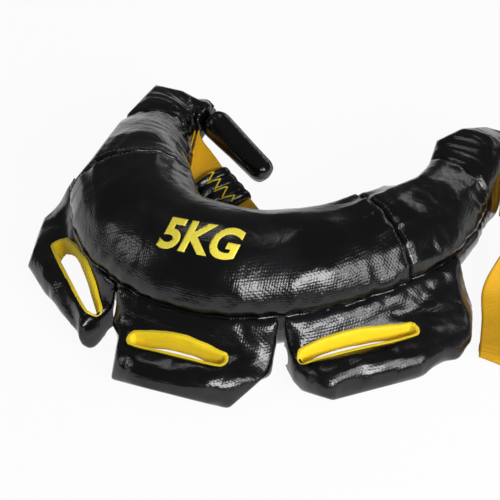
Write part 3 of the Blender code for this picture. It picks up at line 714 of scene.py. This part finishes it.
for side_name in ("left", "right"):
    root, _ = joint_of(f"{side_name}_grip")
    cover = frame["nodes"][f"{side_name}_grip_cover"].data
    length = max((vert.co - root).length for vert in cover.vertices)
    far = [v.co for v in cover.vertices if (v.co - root).length > length - GRIP_TIP_DEPTH]
    axis = (sum(far, Vector()) / len(far) - root).normalized()
    grip_side = axis.cross(UPWARD).normalized()
    grip_up = grip_side.cross(axis)
    seed = len(side_name)

    def place(along, around):
        angle = 2 * math.pi * around
        cos, sin = math.cos(angle), math.sin(angle)
        if along < GRIP_ROOT_END:
            turn = math.pi / 2 * along / GRIP_ROOT_END
            distance = -GRIP_ROOT_LENGTH * math.cos(turn)
            radius = GRIP_RADIUS * (1 + GRIP_ROOT_SWELL * math.cos(turn)) * math.sin(turn) ** 0.5
        elif along < GRIP_TIP_START:
            share = (along - GRIP_ROOT_END) / (GRIP_TIP_START - GRIP_ROOT_END)
            distance = share * (GRIP_LENGTH - GRIP_TIP_ROUND)
            radius = GRIP_RADIUS
        else:
            turn = math.pi / 2 * (along - GRIP_TIP_START) / (1 - GRIP_TIP_START)
            distance = GRIP_LENGTH - GRIP_TIP_ROUND * (1 - math.sin(turn))
            radius = GRIP_RADIUS - GRIP_TIP_ROUND * (1 - math.cos(turn))
            folded = max(0, along - GRIP_TIP_FOLD_START) / (1 - GRIP_TIP_FOLD_START)
            radius *= math.cos(min(1, folded) * math.pi / 2)
        radius *= 1.04 - GRIP_TAPER * max(distance, 0) / GRIP_LENGTH
        square = 1 + 0.05 * (1 - 1.6 * abs(cos * sin)) * min(1, max(0, distance / 0.03))
        bumps = (
            GRIP_GATHER * math.cos(angle * 8 + seed) * math.exp(-abs(distance + 0.008) / 0.012)
            + GRIP_TIP_GATHER * math.cos(angle * 7) * math.exp(-abs(GRIP_LENGTH - distance) / 0.007)
            + GRIP_FOLD * noise.noise(Vector((distance * 26, cos * 1.6, sin * 1.6 + seed)))
            - GRIP_SEAM_DIP * math.exp(-(((angle - GRIP_SEAM_ANGLE) / GRIP_SEAM_WIDTH) ** 2))
            - GRIP_PULL_IN
        )
        reach = max(0, radius / square + bumps * min(1, radius / 0.006))
        return stay_on_floor(root + axis * distance + (grip_side * cos + grip_up * sin) * reach)

    grip = grid_object(f"{side_name}_grip_cloth", 64, 48, place, coated_cloth, merge=True)
    face_outward(grip, root + axis * GRIP_LENGTH / 2)
    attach(grip, f"{side_name}_grip")
    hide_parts(f"{side_name}_grip_cover")


# The side handles: a doubled flap of the cloth sewn into the outer seam, slotted for the
# fingers, its outer edge stuffed into a roll that rests on the floor. The cloth is slack, so
# it is simulated as air-filled cloth held at its root and round the slot.
HANDLE_VOXEL = 0.0028
HANDLE_PRESSURE = 3.0
HANDLE_FRAMES = 16
HANDLE_MOST_MOVE = 0.0045
HANDLE_SLACK_SHARE = 0.012
HANDLE_CREASE = 0.0006
HANDLE_FOLD = 0.0008
HANDLE_PULL_IN = 0.0004
SLOT_HOLD_WIDTH = 0.010
ROOT_HOLD_WIDTH = 0.016
ROOT_TUCK = 0.0026
ROOT_TUCK_REACH = 0.007
# Pixels at which each roll's corners show, and the line of pixels that its cloth stays within.
ROLL_CORNERS = {
    "left": ((28, 268), (92, 348)),
    "centre": ((111, 378), (228, 408)),
    "right": ((292, 378), (333, 399), (459, 358)),
}
ROLL_CORNER_REACH = 0.011
ROLL_DRAW_MOST = 0.010
ROLL_OUTLINES = {
    "left": (((66, 184), (47, 211), (28, 266), (75, 342), (92, 350)), (80, 265)),
    "centre": (((121, 325), (111, 379), (228, 409), (245, 394), (270, 371)), (180, 360)),
    "right": (((283, 371), (300, 390), (333, 400), (430, 375), (460, 360)), (380, 340)),
}

root_line = [crescent_point(i / 4, SEAM_ANGLE) for i in range(-14, 15)]
seam_line = [crescent_point(i / 40, SEAM_ANGLE) for i in range(-150, 151)]


def evaluated_mesh(made):
    """The mesh that an object's modifiers or curve make."""
    bpy.context.view_layer.update()
    graph = bpy.context.evaluated_depsgraph_get()
    return bpy.data.meshes.new_from_object(made.evaluated_get(graph))


def keep_result(made):
    """Replace the mesh by what its modifiers make of it, and take them off."""
    mesh = evaluated_mesh(made)
    made.modifiers.clear()
    made.data = mesh


def keep_largest_shell(made):
    """Delete all but the largest connected part of the mesh."""
    bm = bmesh.new()
    bm.from_mesh(made.data)
    left = set(bm.verts)
    shells = []
    while left:
        start = left.pop()
        shell, edge = {start}, [start]
        while edge:
            vert = edge.pop()
            for link in vert.link_edges:
                other = link.other_vert(vert)
                if other not in shell:
                    shell.add(other)
                    edge.append(other)
        left -= shell
        shells.append(shell)
    largest = max(shells, key=len)
    bmesh.ops.delete(bm, geom=[v for v in bm.verts if v not in largest], context="VERTS")
    bm.to_mesh(made.data)
    bm.free()


def soft_copy(name, nodes):
    """One even mesh over the outside of some of the solids together."""
    made = piece_from(merged_solids(*nodes), name, coated_cloth)
    remesh = made.modifiers.new("even_mesh", "REMESH")
    remesh.mode = "VOXEL"
    remesh.voxel_size = HANDLE_VOXEL
    keep_result(made)
    keep_largest_shell(made)
    return made


def simulate(made, held):
    """Swell the piece as slack, air-filled cloth that is held where a function says."""
    before = [vert.co.copy() for vert in made.data.vertices]
    group = made.vertex_groups.new(name="held")
    for vert in made.data.vertices:
        group.add([vert.index], held(vert.co), "REPLACE")
    cloth = made.modifiers.new("cloth", "CLOTH")
    settings = cloth.settings
    settings.quality = 4
    settings.mass = 0.25
    settings.tension_stiffness = settings.compression_stiffness = 18
    settings.shear_stiffness = 8
    settings.bending_stiffness = 0.25
    settings.use_pressure = True
    settings.uniform_pressure_force = HANDLE_PRESSURE
    settings.shrink_min = -HANDLE_SLACK_SHARE
    settings.vertex_group_mass = "held"
    settings.effector_weights.gravity = 0
    cloth.collision_settings.use_collision = False
    cloth.point_cache.frame_start = 1
    cloth.point_cache.frame_end = HANDLE_FRAMES
    for step in range(1, HANDLE_FRAMES + 1):
        scene.frame_set(step)
    keep_result(made)
    scene.frame_set(1)
    made.vertex_groups.clear()
    for vert, start in zip(made.data.vertices, before):
        move = vert.co - start
        if move.length > HANDLE_MOST_MOVE:
            vert.co = start + move * HANDLE_MOST_MOVE / move.length
        stay_on_floor(vert.co)


def push_out(made, height):
    """Move each point along its normal by a function of the point."""
    mesh = made.data
    moves = [vert.normal * height(vert.co) for vert in mesh.vertices]
    for vert, move in zip(mesh.vertices, moves):
        vert.co += move
        stay_on_floor(vert.co)
    mesh.update()


def tuck_into_seam(made):
    """Draw a flap's root in to the outer seam that it is sewn into."""
    for vert in made.data.vertices:
        nearest = min(seam_line, key=lambda place: (place.xy - vert.co.xy).length_squared)
        gap = (nearest - vert.co).to_2d()
        if gap.length > 3 * ROOT_TUCK_REACH:
            continue
        move = min(ROOT_TUCK, gap.length) * math.exp(-((gap.length / ROOT_TUCK_REACH) ** 2))
        vert.co.xy += gap.normalized() * move
    made.data.update()


def soften(made):
    """Round the cloth off with one level of subdivision."""
    smooth = made.modifiers.new("soft_cloth", "SUBSURF")
    smooth.levels = smooth.render_levels = 1


def slot_outline(node):
    """Centre, direction, half length and half width of a slot, from its lining's solid."""
    spots = [vert.co for vert in frame["nodes"][node].data.vertices]
    mean = sum(spots, Vector()) / len(spots)
    xx = sum((p.x - mean.x) ** 2 for p in spots)
    yy = sum((p.y - mean.y) ** 2 for p in spots)
    xy = sum((p.x - mean.x) * (p.y - mean.y) for p in spots)
    turn = math.atan2(2 * xy, xx - yy) / 2
    along = Vector((math.cos(turn), math.sin(turn), 0))
    across = Vector((-along.y, along.x, 0))
    ends = [p.dot(along) for p in spots]
    sides = [p.dot(across) for p in spots]
    centre = along * (min(ends) + max(ends)) / 2 + across * (min(sides) + max(sides)) / 2
    return centre, along, across, (max(ends) - min(ends)) / 2, (max(sides) - min(sides)) / 2


handles = {}
for side_name in ROLL_CORNERS:
    body = f"{side_name}_side_handle"
    pivot, joint_axis = joint_of(body)
    outward = UPWARD.cross(joint_axis).normalized()
    slot = slot_outline(f"{body}_lining")
    slot_centre, slot_along, slot_across, half_length, half_width = slot

    def held(point):
        """One at the slot and at the flap's root, falling to none out on the roll."""
        flat = point - slot_centre
        past_end = max(0, abs(flat.dot(slot_along)) - half_length)
        past_side = max(0, abs(flat.dot(slot_across)) - half_width)
        from_slot = math.hypot(past_end, past_side)
        from_root = min(math.hypot(spot.x - point.x, spot.y - point.y) for spot in root_line)
        return max(0, 1 - min(from_slot / SLOT_HOLD_WIDTH, from_root / ROOT_HOLD_WIDTH))

    def creases(point):
        """Height of the loose cloth's folds and creases."""
        loose = 1 - 0.8 * held(point)
        slow = noise.noise(point * 30 + Vector((1.3, 0, 0)))
        ridge = 1 - 2 * abs(noise.noise(Vector((point.x * 26, point.y * 26, point.z * 14))))
        return loose * (HANDLE_CREASE * ridge + HANDLE_FOLD * slow) - HANDLE_PULL_IN

    cover = soft_copy(f"{body}_cloth", [f"{body}_cover", f"{body}_core"])
    relax(cover, 2)
    simulate(cover, held)
    relax(cover, 4)
    cover.data.materials.clear()
    cover.data.materials.append(coated_cloth)
    cover.data.shade_smooth()
    push_out(cover, creases)
    for pixel in ROLL_CORNERS[side_name]:
        draw_out(cover, pixel, ROLL_CORNER_REACH, ROLL_DRAW_MOST)
    draw_in(cover, *ROLL_OUTLINES[side_name])
    tuck_into_seam(cover)
    soften(cover)
    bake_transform(cover)
    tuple(pivot)
    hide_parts(f"{body}_cover")
    handles[body] = (cover, slot, pivot, outward)


# The slot linings: plain-woven yellow cloth, matt with painted shade in the gaps between its
# threads, sewn through each slot and turned out a few millimetres over the black cloth as a rim.
LINING_COLOUR = "#fce010"
LINING_SHADE_COLOUR = "#dcb400"
LINING_THREAD_MM = 1.1
LINING_WRINKLE_MM = 16.667
LINING_THICKNESS = 0.0008
LINING_WAVE = 0.0005
RIM_WIDTH = 0.0034
RIM_LIFT = 0.0009
RIM_SHARE = 0.15
RIM_STEPS = 96
RIM_PROBES = (0.0015, 0.003, 0.0045)
RIM_USUAL_HEIGHT = 0.03
SLOT_WALL_INSET = 0.0006
SLOT_WALL_HOLLOW = 0.0012

lining_cloth, tree, shader = new_finish("yellow_plain_weave")
spot = add_node(tree, "TexCoord").outputs["Object"]
threads = add_node(tree, "TexVoronoi", {
    "Vector": spot, "Scale": 1000 / LINING_THREAD_MM, "Randomness": 0.1})
mottle = add_node(tree, "TexNoise", {
    "Vector": spot, "Scale": 1000 / LINING_WRINKLE_MM, "Detail": 3.0})
# Painted shade: darker yellow in the gaps between the threads, stronger where the mottle is high.
thread_gap_shade = add_node(tree, "Math", {
    0: threads.outputs["Distance"], 1: mottle.outputs["Fac"]}, operation="MULTIPLY")
tint = add_node(tree, "Mix", {
    "Factor": thread_gap_shade.outputs[0], "A": linear(LINING_COLOUR), "B": linear(LINING_SHADE_COLOUR)},
    data_type="RGBA")
wave = add_node(tree, "Bump", {
    "Height": threads.outputs["Distance"], "Strength": 0.5, "Distance": 0.0004}, invert=True)
wrinkle = add_node(tree, "Bump", {
    "Height": mottle.outputs["Fac"], "Strength": 0.4, "Distance": 0.002,
    "Normal": wave.outputs["Normal"]})
set_inputs(tree, shader, {
    "Base Color": tint.outputs["Result"], "Roughness": 0.62, "Sheen Weight": 0.15,
    "Normal": wrinkle.outputs["Normal"]})


def slot_edge(slot, around, outset):
    """A point of the slot's stadium outline, in plan, moved out by an outset."""
    centre, along, across, half_length, half_width = slot
    straight = half_length - half_width
    radius = half_width + outset
    angle = 2 * math.pi * around
    shift = straight * max(-1, min(1, 1.6 * math.cos(angle)))
    return centre + along * (shift + radius * math.cos(angle)) + across * radius * math.sin(angle)


for body, (cover, slot, pivot, outward) in handles.items():
    surface = BVHTree.FromObject(cover, bpy.context.evaluated_depsgraph_get())

    def cover_height(point, from_above):
        """Height of the cover's face above or below a place, or None past its edge."""
        start = Vector((point.x, point.y, 0.2 if from_above else -0.1))
        hit = surface.ray_cast(start, Vector((0, 0, -1 if from_above else 1)))
        return hit[0].z if hit[0] else None

    def rim(around):
        """Lowest and highest height of the slot's edge, taken just outside the outline."""
        heights = []
        for from_above in (False, True):
            found = [cover_height(slot_edge(slot, around, out), from_above) for out in RIM_PROBES]
            found = [height for height in found if height is not None]
            heights.append(sum(found) / len(found) if found else RIM_USUAL_HEIGHT)
        return heights

    rims = [rim(i / RIM_STEPS) for i in range(RIM_STEPS + 1)]
    rims = [
        [sum(rims[(i + k) % RIM_STEPS][j] for k in range(-3, 4)) / 7 for j in (0, 1)]
        for i in range(RIM_STEPS + 1)
    ]

    def place(around, across_share):
        bottom, top = rims[round(around * RIM_STEPS)]
        if across_share < RIM_SHARE:
            out = RIM_WIDTH * (1 - across_share / RIM_SHARE)
            height = bottom - RIM_LIFT
        elif across_share > 1 - RIM_SHARE:
            out = RIM_WIDTH * (across_share - (1 - RIM_SHARE)) / RIM_SHARE
            height = top + RIM_LIFT
        else:
            share = (across_share - RIM_SHARE) / (1 - 2 * RIM_SHARE)
            out = -SLOT_WALL_INSET - SLOT_WALL_HOLLOW * math.sin(math.pi * share)
            height = bottom - SLOT_WALL_INSET + (top - bottom + 2 * SLOT_WALL_INSET) * share
        wave = LINING_WAVE * noise.noise(Vector((around * 40, across_share * 3, 2)))
        point = slot_edge(slot, around, out + wave)
        point.z = height + wave
        return stay_on_floor(point)

    lining = grid_object(f"{body}_lining_cloth", RIM_STEPS, 20, place, lining_cloth, merge=True)
    bm = bmesh.new()
    bm.from_mesh(lining.data)
    bmesh.ops.recalc_face_normals(bm, faces=bm.faces)
    bm.to_mesh(lining.data)
    bm.free()
    thicken(lining, LINING_THICKNESS, offset=0)
    soften(lining)
    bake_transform(lining)
    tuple(pivot)
    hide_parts(f"{body}_lining")


# The webbing loops: 40 mm polypropylene webbing, woven with ribs across it, matt and golden
# with painted shade in the furrows between the ribs. Both ends are sewn to the hood in one stack.
WEBBING_COLOUR = "#e8b004"
WEBBING_FURROW_SHADE_COLOUR = "#bb8300"
WEBBING_RIB_MM = 1.7
WEBBING_WALE_MM = 5.0
WEBBING_FUZZ_MM = 1.1111
WEBBING_PATCH_MM = 33.33
WEBBING_WIDTH = 0.040
WEBBING_SELVEDGE = 0.0002
WEBBING_THICKNESS = 0.0018
WEBBING_CUP = 0.0006
WEBBING_RIPPLE = 0.0005
# The way that a band's side points at its start, to the back or down.
BAND_SIDE_WAY = Vector((0, 1, -1))
# Rings of each band that its padded sleeve covers.
SLEEVE_RINGS = {"left": (35, 39), "right": (37, 41)}

webbing, tree, shader = new_finish("golden_ribbed_webbing")
spot = add_node(tree, "UVMap", uv_map="cloth").outputs["UV"]
apart = add_node(tree, "SeparateXYZ", {"Vector": spot})
rib_turn = add_node(tree, "Math", {
    0: apart.outputs["X"], 1: 2 * math.pi * 1000 / WEBBING_RIB_MM}, operation="MULTIPLY")
wale_turn = add_node(tree, "Math", {
    0: apart.outputs["Y"], 1: 2 * math.pi * 1000 / WEBBING_WALE_MM}, operation="MULTIPLY")
wale = add_node(tree, "Math", {0: wale_turn.outputs[0]}, operation="SINE")
shifted = add_node(tree, "Math", {
    0: wale.outputs[0], 1: 1.6, 2: rib_turn.outputs[0]}, operation="MULTIPLY_ADD")
ribs = add_node(tree, "Math", {0: shifted.outputs[0]}, operation="SINE")
fuzz = add_node(tree, "TexNoise", {
    "Vector": spot, "Scale": 1000 / WEBBING_FUZZ_MM, "Detail": 2.0})
patch = add_node(tree, "TexNoise", {
    "Vector": spot, "Scale": 1000 / WEBBING_PATCH_MM, "Detail": 3.0})
# Painted shade: the mix darkens the webbing in stripes that follow the ribs, more in some patches.
rib_share = add_node(tree, "MapRange", {
    "Value": ribs.outputs[0], "From Min": -1.0, "From Max": 1.0, "To Min": 0.0, "To Max": 0.62})
furrow_shade = add_node(tree, "Math", {
    0: rib_share.outputs["Result"], 1: patch.outputs["Fac"]}, operation="MULTIPLY")
tint = add_node(tree, "Mix", {
    "Factor": furrow_shade.outputs[0], "A": linear(WEBBING_COLOUR), "B": linear(WEBBING_FURROW_SHADE_COLOUR)},
    data_type="RGBA")
rise = add_node(tree, "Bump", {
    "Height": ribs.outputs[0], "Strength": 0.5, "Distance": 0.0004})
nap = add_node(tree, "Bump", {
    "Height": fuzz.outputs["Fac"], "Strength": 0.25, "Distance": 0.0003,
    "Normal": rise.outputs["Normal"]})
set_inputs(tree, shader, {
    "Base Color": tint.outputs["Result"], "Roughness": 0.7, "Normal": nap.outputs["Normal"]})


def is_band_end(face):
    """Whether a triangle is half of a cut end of the webbing, 2 by 40 mm."""
    spans = sorted(edge.calc_length() for edge in face.edges)
    return spans[0] < 0.0026 and spans[1] > 0.036 and spans[2] < 0.042


def band_rings(node, pivot):
    """Centre and side of a webbing solid, ring by ring from the end nearest its pivot."""
    bm = merged_solids(node)
    caps = [face for face in bm.faces if is_band_end(face)]
    first = min(caps, key=lambda face: min((v.co - pivot).length for v in face.verts))
    ring = {v for face in caps for v in face.verts if set(face.verts) & set(first.verts)}
    past, line = set(), []
    while ring:
        start, *others = sorted((v.co for v in ring), key=tuple)
        centre = sum(others, start) / len(ring)
        near = min(others, key=lambda place: (place - start).length)
        side = ((start + near) / 2 - centre).normalized()
        if line and side.dot(line[-1][1]) < 0:
            side = -side
        line.append((centre, side))
        past |= ring
        ring = {link.other_vert(v) for v in ring for link in v.link_edges} - past
    bm.free()
    return line


def band_row(line, t):
    """Centre, side and facing of the webbing at t counted in rings."""
    numbers = [[*centre, *side] for centre, side in line]
    x, y, z, a, b, c = smooth_row(numbers, t)
    ahead = smooth_row(numbers, min(t + 0.05, len(line) - 1))
    behind = smooth_row(numbers, max(t - 0.05, 0))
    way = (Vector(ahead[:3]) - Vector(behind[:3])).normalized()
    side = Vector((a, b, c)).normalized()
    return Vector((x, y, z)), side, way.cross(side).normalized()


loops = {}
for side_name in ("left", "right"):
    pivot, _ = joint_of(f"{side_name}_loop")
    line = band_rings(f"{side_name}_strap", pivot)
    low, high = (Vector(corner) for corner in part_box(f"{side_name}_strap_sleeve"))
    sleeve_middle = (low + high) / 2
    padded_ring = sum(SLEEVE_RINGS[side_name]) // 2
    ahead_gap = (line[padded_ring][0] - sleeve_middle).length
    if ahead_gap > (line[-1 - padded_ring][0] - sleeve_middle).length:
        line.reverse()
    if line[0][1].dot(BAND_SIDE_WAY) < 0:
        line = [(centre, -side) for centre, side in line]
    lengths = [0]
    for (a, _), (b, _) in zip(line, line[1:]):
        lengths.append(lengths[-1] + (b - a).length)
    loops[side_name] = line

    def place(along, across):
        t = along * (len(line) - 1)
        centre, side, facing = band_row(line, t)
        middle_share = 1 - (2 * across - 1) ** 2
        cup = WEBBING_CUP * noise.noise(Vector((t * 0.7, 0, 4))) * middle_share
        ripple = WEBBING_RIPPLE * noise.noise(Vector((t * 0.9, across * 2, 8)))
        aside = (across - 0.5) * (WEBBING_WIDTH - WEBBING_SELVEDGE)
        point = centre + side * aside + facing * (cup + ripple)
        point.z = max(point.z, FLOOR_CLEARANCE + WEBBING_THICKNESS / 2)
        return point

    def uv(along, across):
        t = along * (len(lengths) - 1)
        i = min(int(t), len(lengths) - 2)
        run = lengths[i] + (lengths[i + 1] - lengths[i]) * (t - i)
        return run, (across - 0.5) * WEBBING_WIDTH

    columns = (len(line) - 1) * 6
    strap = grid_object(f"{side_name}_strap_webbing", columns, 14, place, webbing, uv)
    thicken(strap, WEBBING_THICKNESS, offset=0)
    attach(strap, f"{side_name}_loop")
    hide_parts(f"{side_name}_strap")


# The padded sleeves: wadding wrapped round the webbing in the black cloth, tied in lumps by
# cross stitching, with a yellow cord edge that zigzags along the top.
SLEEVE_HALF_WIDTH = 0.0236
SLEEVE_HALF_HEIGHT = 0.0118
SLEEVE_LUMPS = 4
SLEEVE_END_SHARE = 0.06
SLEEVE_END_HALF_WIDTH = 0.0206
SLEEVE_END_HALF_HEIGHT = 0.0014
PIPING_RADIUS = 0.0008
PIPING_LIFT = 0.0003
PIPING_ZIGZAG = 0.6
PIPING_STEPS = 60

for side_name in ("left", "right"):
    line = loops[side_name]
    first, last = SLEEVE_RINGS[side_name]

    def band_frame(along):
        """Centre, side and upward facing of the webbing at a share of the sleeve."""
        centre, side, facing = band_row(line, first + (last - first) * along)
        return centre, side, facing if facing.z > 0 else -facing

    def sleeve_point(along, angle, out=0.0):
        """A point of the lumpy sleeve, moved out by a little."""
        centre, side, facing = band_frame(along)
        cos, sin = math.cos(angle), math.sin(angle)
        lump = abs(math.sin(math.pi * SLEEVE_LUMPS * along + 0.5 * math.sin(angle * 2)))
        end = min(1, (math.sin(math.pi * min(max(along, 0.0), 1.0)) * 3.2) ** 0.5)
        size = (0.62 + 0.38 * lump ** 0.6) * (0.35 + 0.65 * end)
        crumple = 1 + 0.16 * noise.noise(Vector((along * 7, cos * 1.6, sin * 1.6 + 3)))
        wide = SLEEVE_HALF_WIDTH * (0.88 + 0.12 * size) * (0.92 + 0.08 * crumple)
        high = SLEEVE_HALF_HEIGHT * size * crumple * 0.92
        point = centre + side * (wide + out) * cos + facing * (high + out) * sin
        return stay_on_floor(point)

    def place(along, around):
        angle = 2 * math.pi * around
        from_end = min(along, 1 - along)
        if from_end >= SLEEVE_END_SHARE:
            return sleeve_point((along - SLEEVE_END_SHARE) / (1 - 2 * SLEEVE_END_SHARE), angle)
        end = round(along)
        centre, side, facing = band_frame(end)
        wide = SLEEVE_END_HALF_WIDTH * math.cos(angle)
        high = SLEEVE_END_HALF_HEIGHT * math.sin(angle)
        inner = centre + side * wide + facing * high
        return inner.lerp(sleeve_point(end, angle), from_end / SLEEVE_END_SHARE)

    sleeve = grid_object(f"{side_name}_strap_sleeve_cloth", 90, 56, place, coated_cloth, merge=True)
    face_outward(sleeve, band_row(line, (first + last) / 2)[0])
    thicken(sleeve, CLOTH_THICKNESS / 2)
    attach(sleeve, f"{side_name}_loop")
    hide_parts(f"{side_name}_strap_sleeve")

    cord_line = bpy.data.curves.new(f"{side_name}_sleeve_piping", "CURVE")
    cord_line.dimensions = "3D"
    cord_line.bevel_depth = PIPING_RADIUS
    cord_line.bevel_resolution = 3
    cord_line.use_fill_caps = True
    spline = cord_line.splines.new("POLY")
    spline.points.add(PIPING_STEPS)
    for i in range(PIPING_STEPS + 1):
        along = SLEEVE_END_SHARE + (1 - 2 * SLEEVE_END_SHARE) * i / PIPING_STEPS
        zigzag = abs(2 * (along * SLEEVE_LUMPS % 1) - 1) - 0.5
        spot = sleeve_point(along, math.pi / 2 + PIPING_ZIGZAG * zigzag, PIPING_LIFT)
        spline.points[i].co = (*spot, 1)
    drawn = link_object(f"{side_name}_sleeve_piping_curve", cord_line)
    bm = bmesh.new()
    bm.from_mesh(evaluated_mesh(drawn))
    bpy.data.objects.remove(drawn)
    bmesh.ops.remove_doubles(bm, verts=bm.verts, dist=WELD_GAP)
    piping = piece_from(bm, f"{side_name}_sleeve_piping", lining_cloth)
    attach(piping, f"{side_name}_loop")


# The stitching: bonded nylon thread, black with a dull gloss and a fine twist, in a lock
# stitch every 4.4 mm on both sides of each cross seam, sunk halfway into the cloth.
STITCH_PITCH = 0.0044
STITCH_SHARE = 0.68
STITCH_FROM_SEAM = 0.0042
STITCH_LIFT = 0.0001
THREAD_RADIUS = 0.00045
THREAD_COLOUR = "#2b2a2e"
THREAD_LIGHT_COLOUR = "#4a494e"
THREAD_PLY_MM = 0.9

thread, tree, shader = new_finish("bonded_nylon_thread")
spot = add_node(tree, "TexCoord").outputs["Object"]
ply = add_node(tree, "TexNoise", {
    "Vector": spot, "Scale": 1000 / THREAD_PLY_MM, "Detail": 2.0})
tint = add_node(tree, "Mix", {
    "Factor": ply.outputs["Fac"], "A": linear(THREAD_COLOUR), "B": linear(THREAD_LIGHT_COLOUR)},
    data_type="RGBA")
rise = add_node(tree, "Bump", {
    "Height": ply.outputs["Fac"], "Strength": 0.4, "Distance": 0.0003})
set_inputs(tree, shader, {
    "Base Color": tint.outputs["Result"], "Roughness": 0.45, "Normal": rise.outputs["Normal"]})

bm = bmesh.new()
for seam in (-CROSS_SEAM_STATION, CROSS_SEAM_STATION):
    for step in (-1, 1):
        station = seam + step * STITCH_FROM_SEAM / abs(run_to(seam + 0.5) - run_to(seam - 0.5))
        section_centre, _, _, half_width, half_height = section_at(station)
        pitch_degrees = math.degrees(STITCH_PITCH / ((half_width + half_height) / 2))
        half_stitch = STITCH_SHARE / 2 * pitch_degrees
        for i in range(int((180 - SEAM_ANGLE) / pitch_degrees)):
            degrees = SEAM_ANGLE + (i + 0.5) * pitch_degrees
            ends = []
            for turn in (degrees - half_stitch, degrees + half_stitch):
                point = crescent_point(station, turn)
                out = (point - section_centre).normalized()
                ends.append(point + out * (panel_height(station, turn, point) + STITCH_LIFT))
            way = ends[1] - ends[0]
            turned = way.to_track_quat("Z", "Y").to_matrix().to_4x4()
            bmesh.ops.create_cone(
                bm, segments=6, radius1=THREAD_RADIUS, radius2=THREAD_RADIUS, depth=way.length,
                cap_ends=True, matrix=Matrix.Translation((ends[0] + ends[1]) / 2) @ turned)
stitches = piece_from(bm, "cross_seam_stitches", thread, smooth=False)
draw_in_horns(stitches)
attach(stitches, "bag")


# The weight mark: the mass in plain figures, screen printed on the top panel in lemon ink,
# which lies thin and a little glossy over the scrim's dots.
MARK_COLOUR = "#fff05a"
MARK_SHADE_COLOUR = "#ecd93c"
MARK_MOTTLE_MM = 3.846
MARK_START_PIXEL = (155.0, 247.0)
MARK_ALONG_PIXELS = (77.0, 14.5)
MARK_UP_PIXELS = (16.0, -31.0)
MARK_STROKE_SWELL = 0.034
MARK_WELD_GAP = 0.0005
MARK_CUTS = 26
INK_THICKNESS = 0.0003

ink, tree, shader = new_finish("lemon_screen_ink")
spot = add_node(tree, "TexCoord").outputs["Object"]
mottle = add_node(tree, "TexNoise", {
    "Vector": spot, "Scale": 1000 / MARK_MOTTLE_MM, "Detail": 4.0})
tint = add_node(tree, "Mix", {
    "Factor": mottle.outputs["Fac"], "A": linear(MARK_COLOUR), "B": linear(MARK_SHADE_COLOUR)},
    data_type="RGBA")
scrim = add_node(tree, "TexVoronoi", {
    "Vector": spot, "Scale": 1000 / SCRIM_PITCH_MM, "Randomness": SCRIM_UNEVENNESS})
rise = add_node(tree, "Bump", {
    "Height": scrim.outputs["Distance"], "Strength": 0.2, "Distance": 0.0004}, invert=True)
set_inputs(tree, shader, {
    "Base Color": tint.outputs["Result"], "Roughness": 0.45, "Normal": rise.outputs["Normal"]})

figures = bpy.data.curves.new("weight_mark_text", "FONT")
figures.body = "5KG"
figures.offset = MARK_STROKE_SWELL
figures.resolution_u = 6
drawn = link_object("weight_mark_text", figures)
bm = bmesh.new()
bm.from_mesh(evaluated_mesh(drawn))
bpy.data.objects.remove(drawn)
bmesh.ops.remove_doubles(bm, verts=bm.verts, dist=MARK_WELD_GAP)
left_end = min(v.co.x for v in bm.verts)
mark_length = max(v.co.x for v in bm.verts) - left_end
foot = min(v.co.y for v in bm.verts)
mark_height = max(v.co.y for v in bm.verts) - foot
for i in range(1, MARK_CUTS):
    for normal, start, size in (((1, 0, 0), left_end, mark_length), ((0, 1, 0), foot, mark_height)):
        cut = Vector(normal) * (start + size * i / MARK_CUTS)
        geometry = [*bm.verts, *bm.edges, *bm.faces]
        bmesh.ops.bisect_plane(bm, geom=geometry, plane_co=cut, plane_no=normal)
bpy.context.view_layer.update()
panel_surface = BVHTree.FromObject(top_panels["centre"], bpy.context.evaluated_depsgraph_get())
for vert in bm.verts:
    along = (vert.co.x - left_end) / mark_length
    above = (vert.co.y - foot) / mark_height
    across = MARK_START_PIXEL[0] + MARK_ALONG_PIXELS[0] * along + MARK_UP_PIXELS[0] * above
    down = MARK_START_PIXEL[1] + MARK_ALONG_PIXELS[1] * along + MARK_UP_PIXELS[1] * above
    spot, facing, _, _ = panel_surface.ray_cast(eye, pixel_ray(across, down))
    vert.co = spot + facing * INK_THICKNESS
bmesh.ops.recalc_face_normals(bm, faces=bm.faces)
mark = piece_from(bm, "weight_mark", ink, smooth=False)
face_outward(mark, section_at(0)[0])
thicken(mark, INK_THICKNESS * 0.8)
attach(mark, "bag")
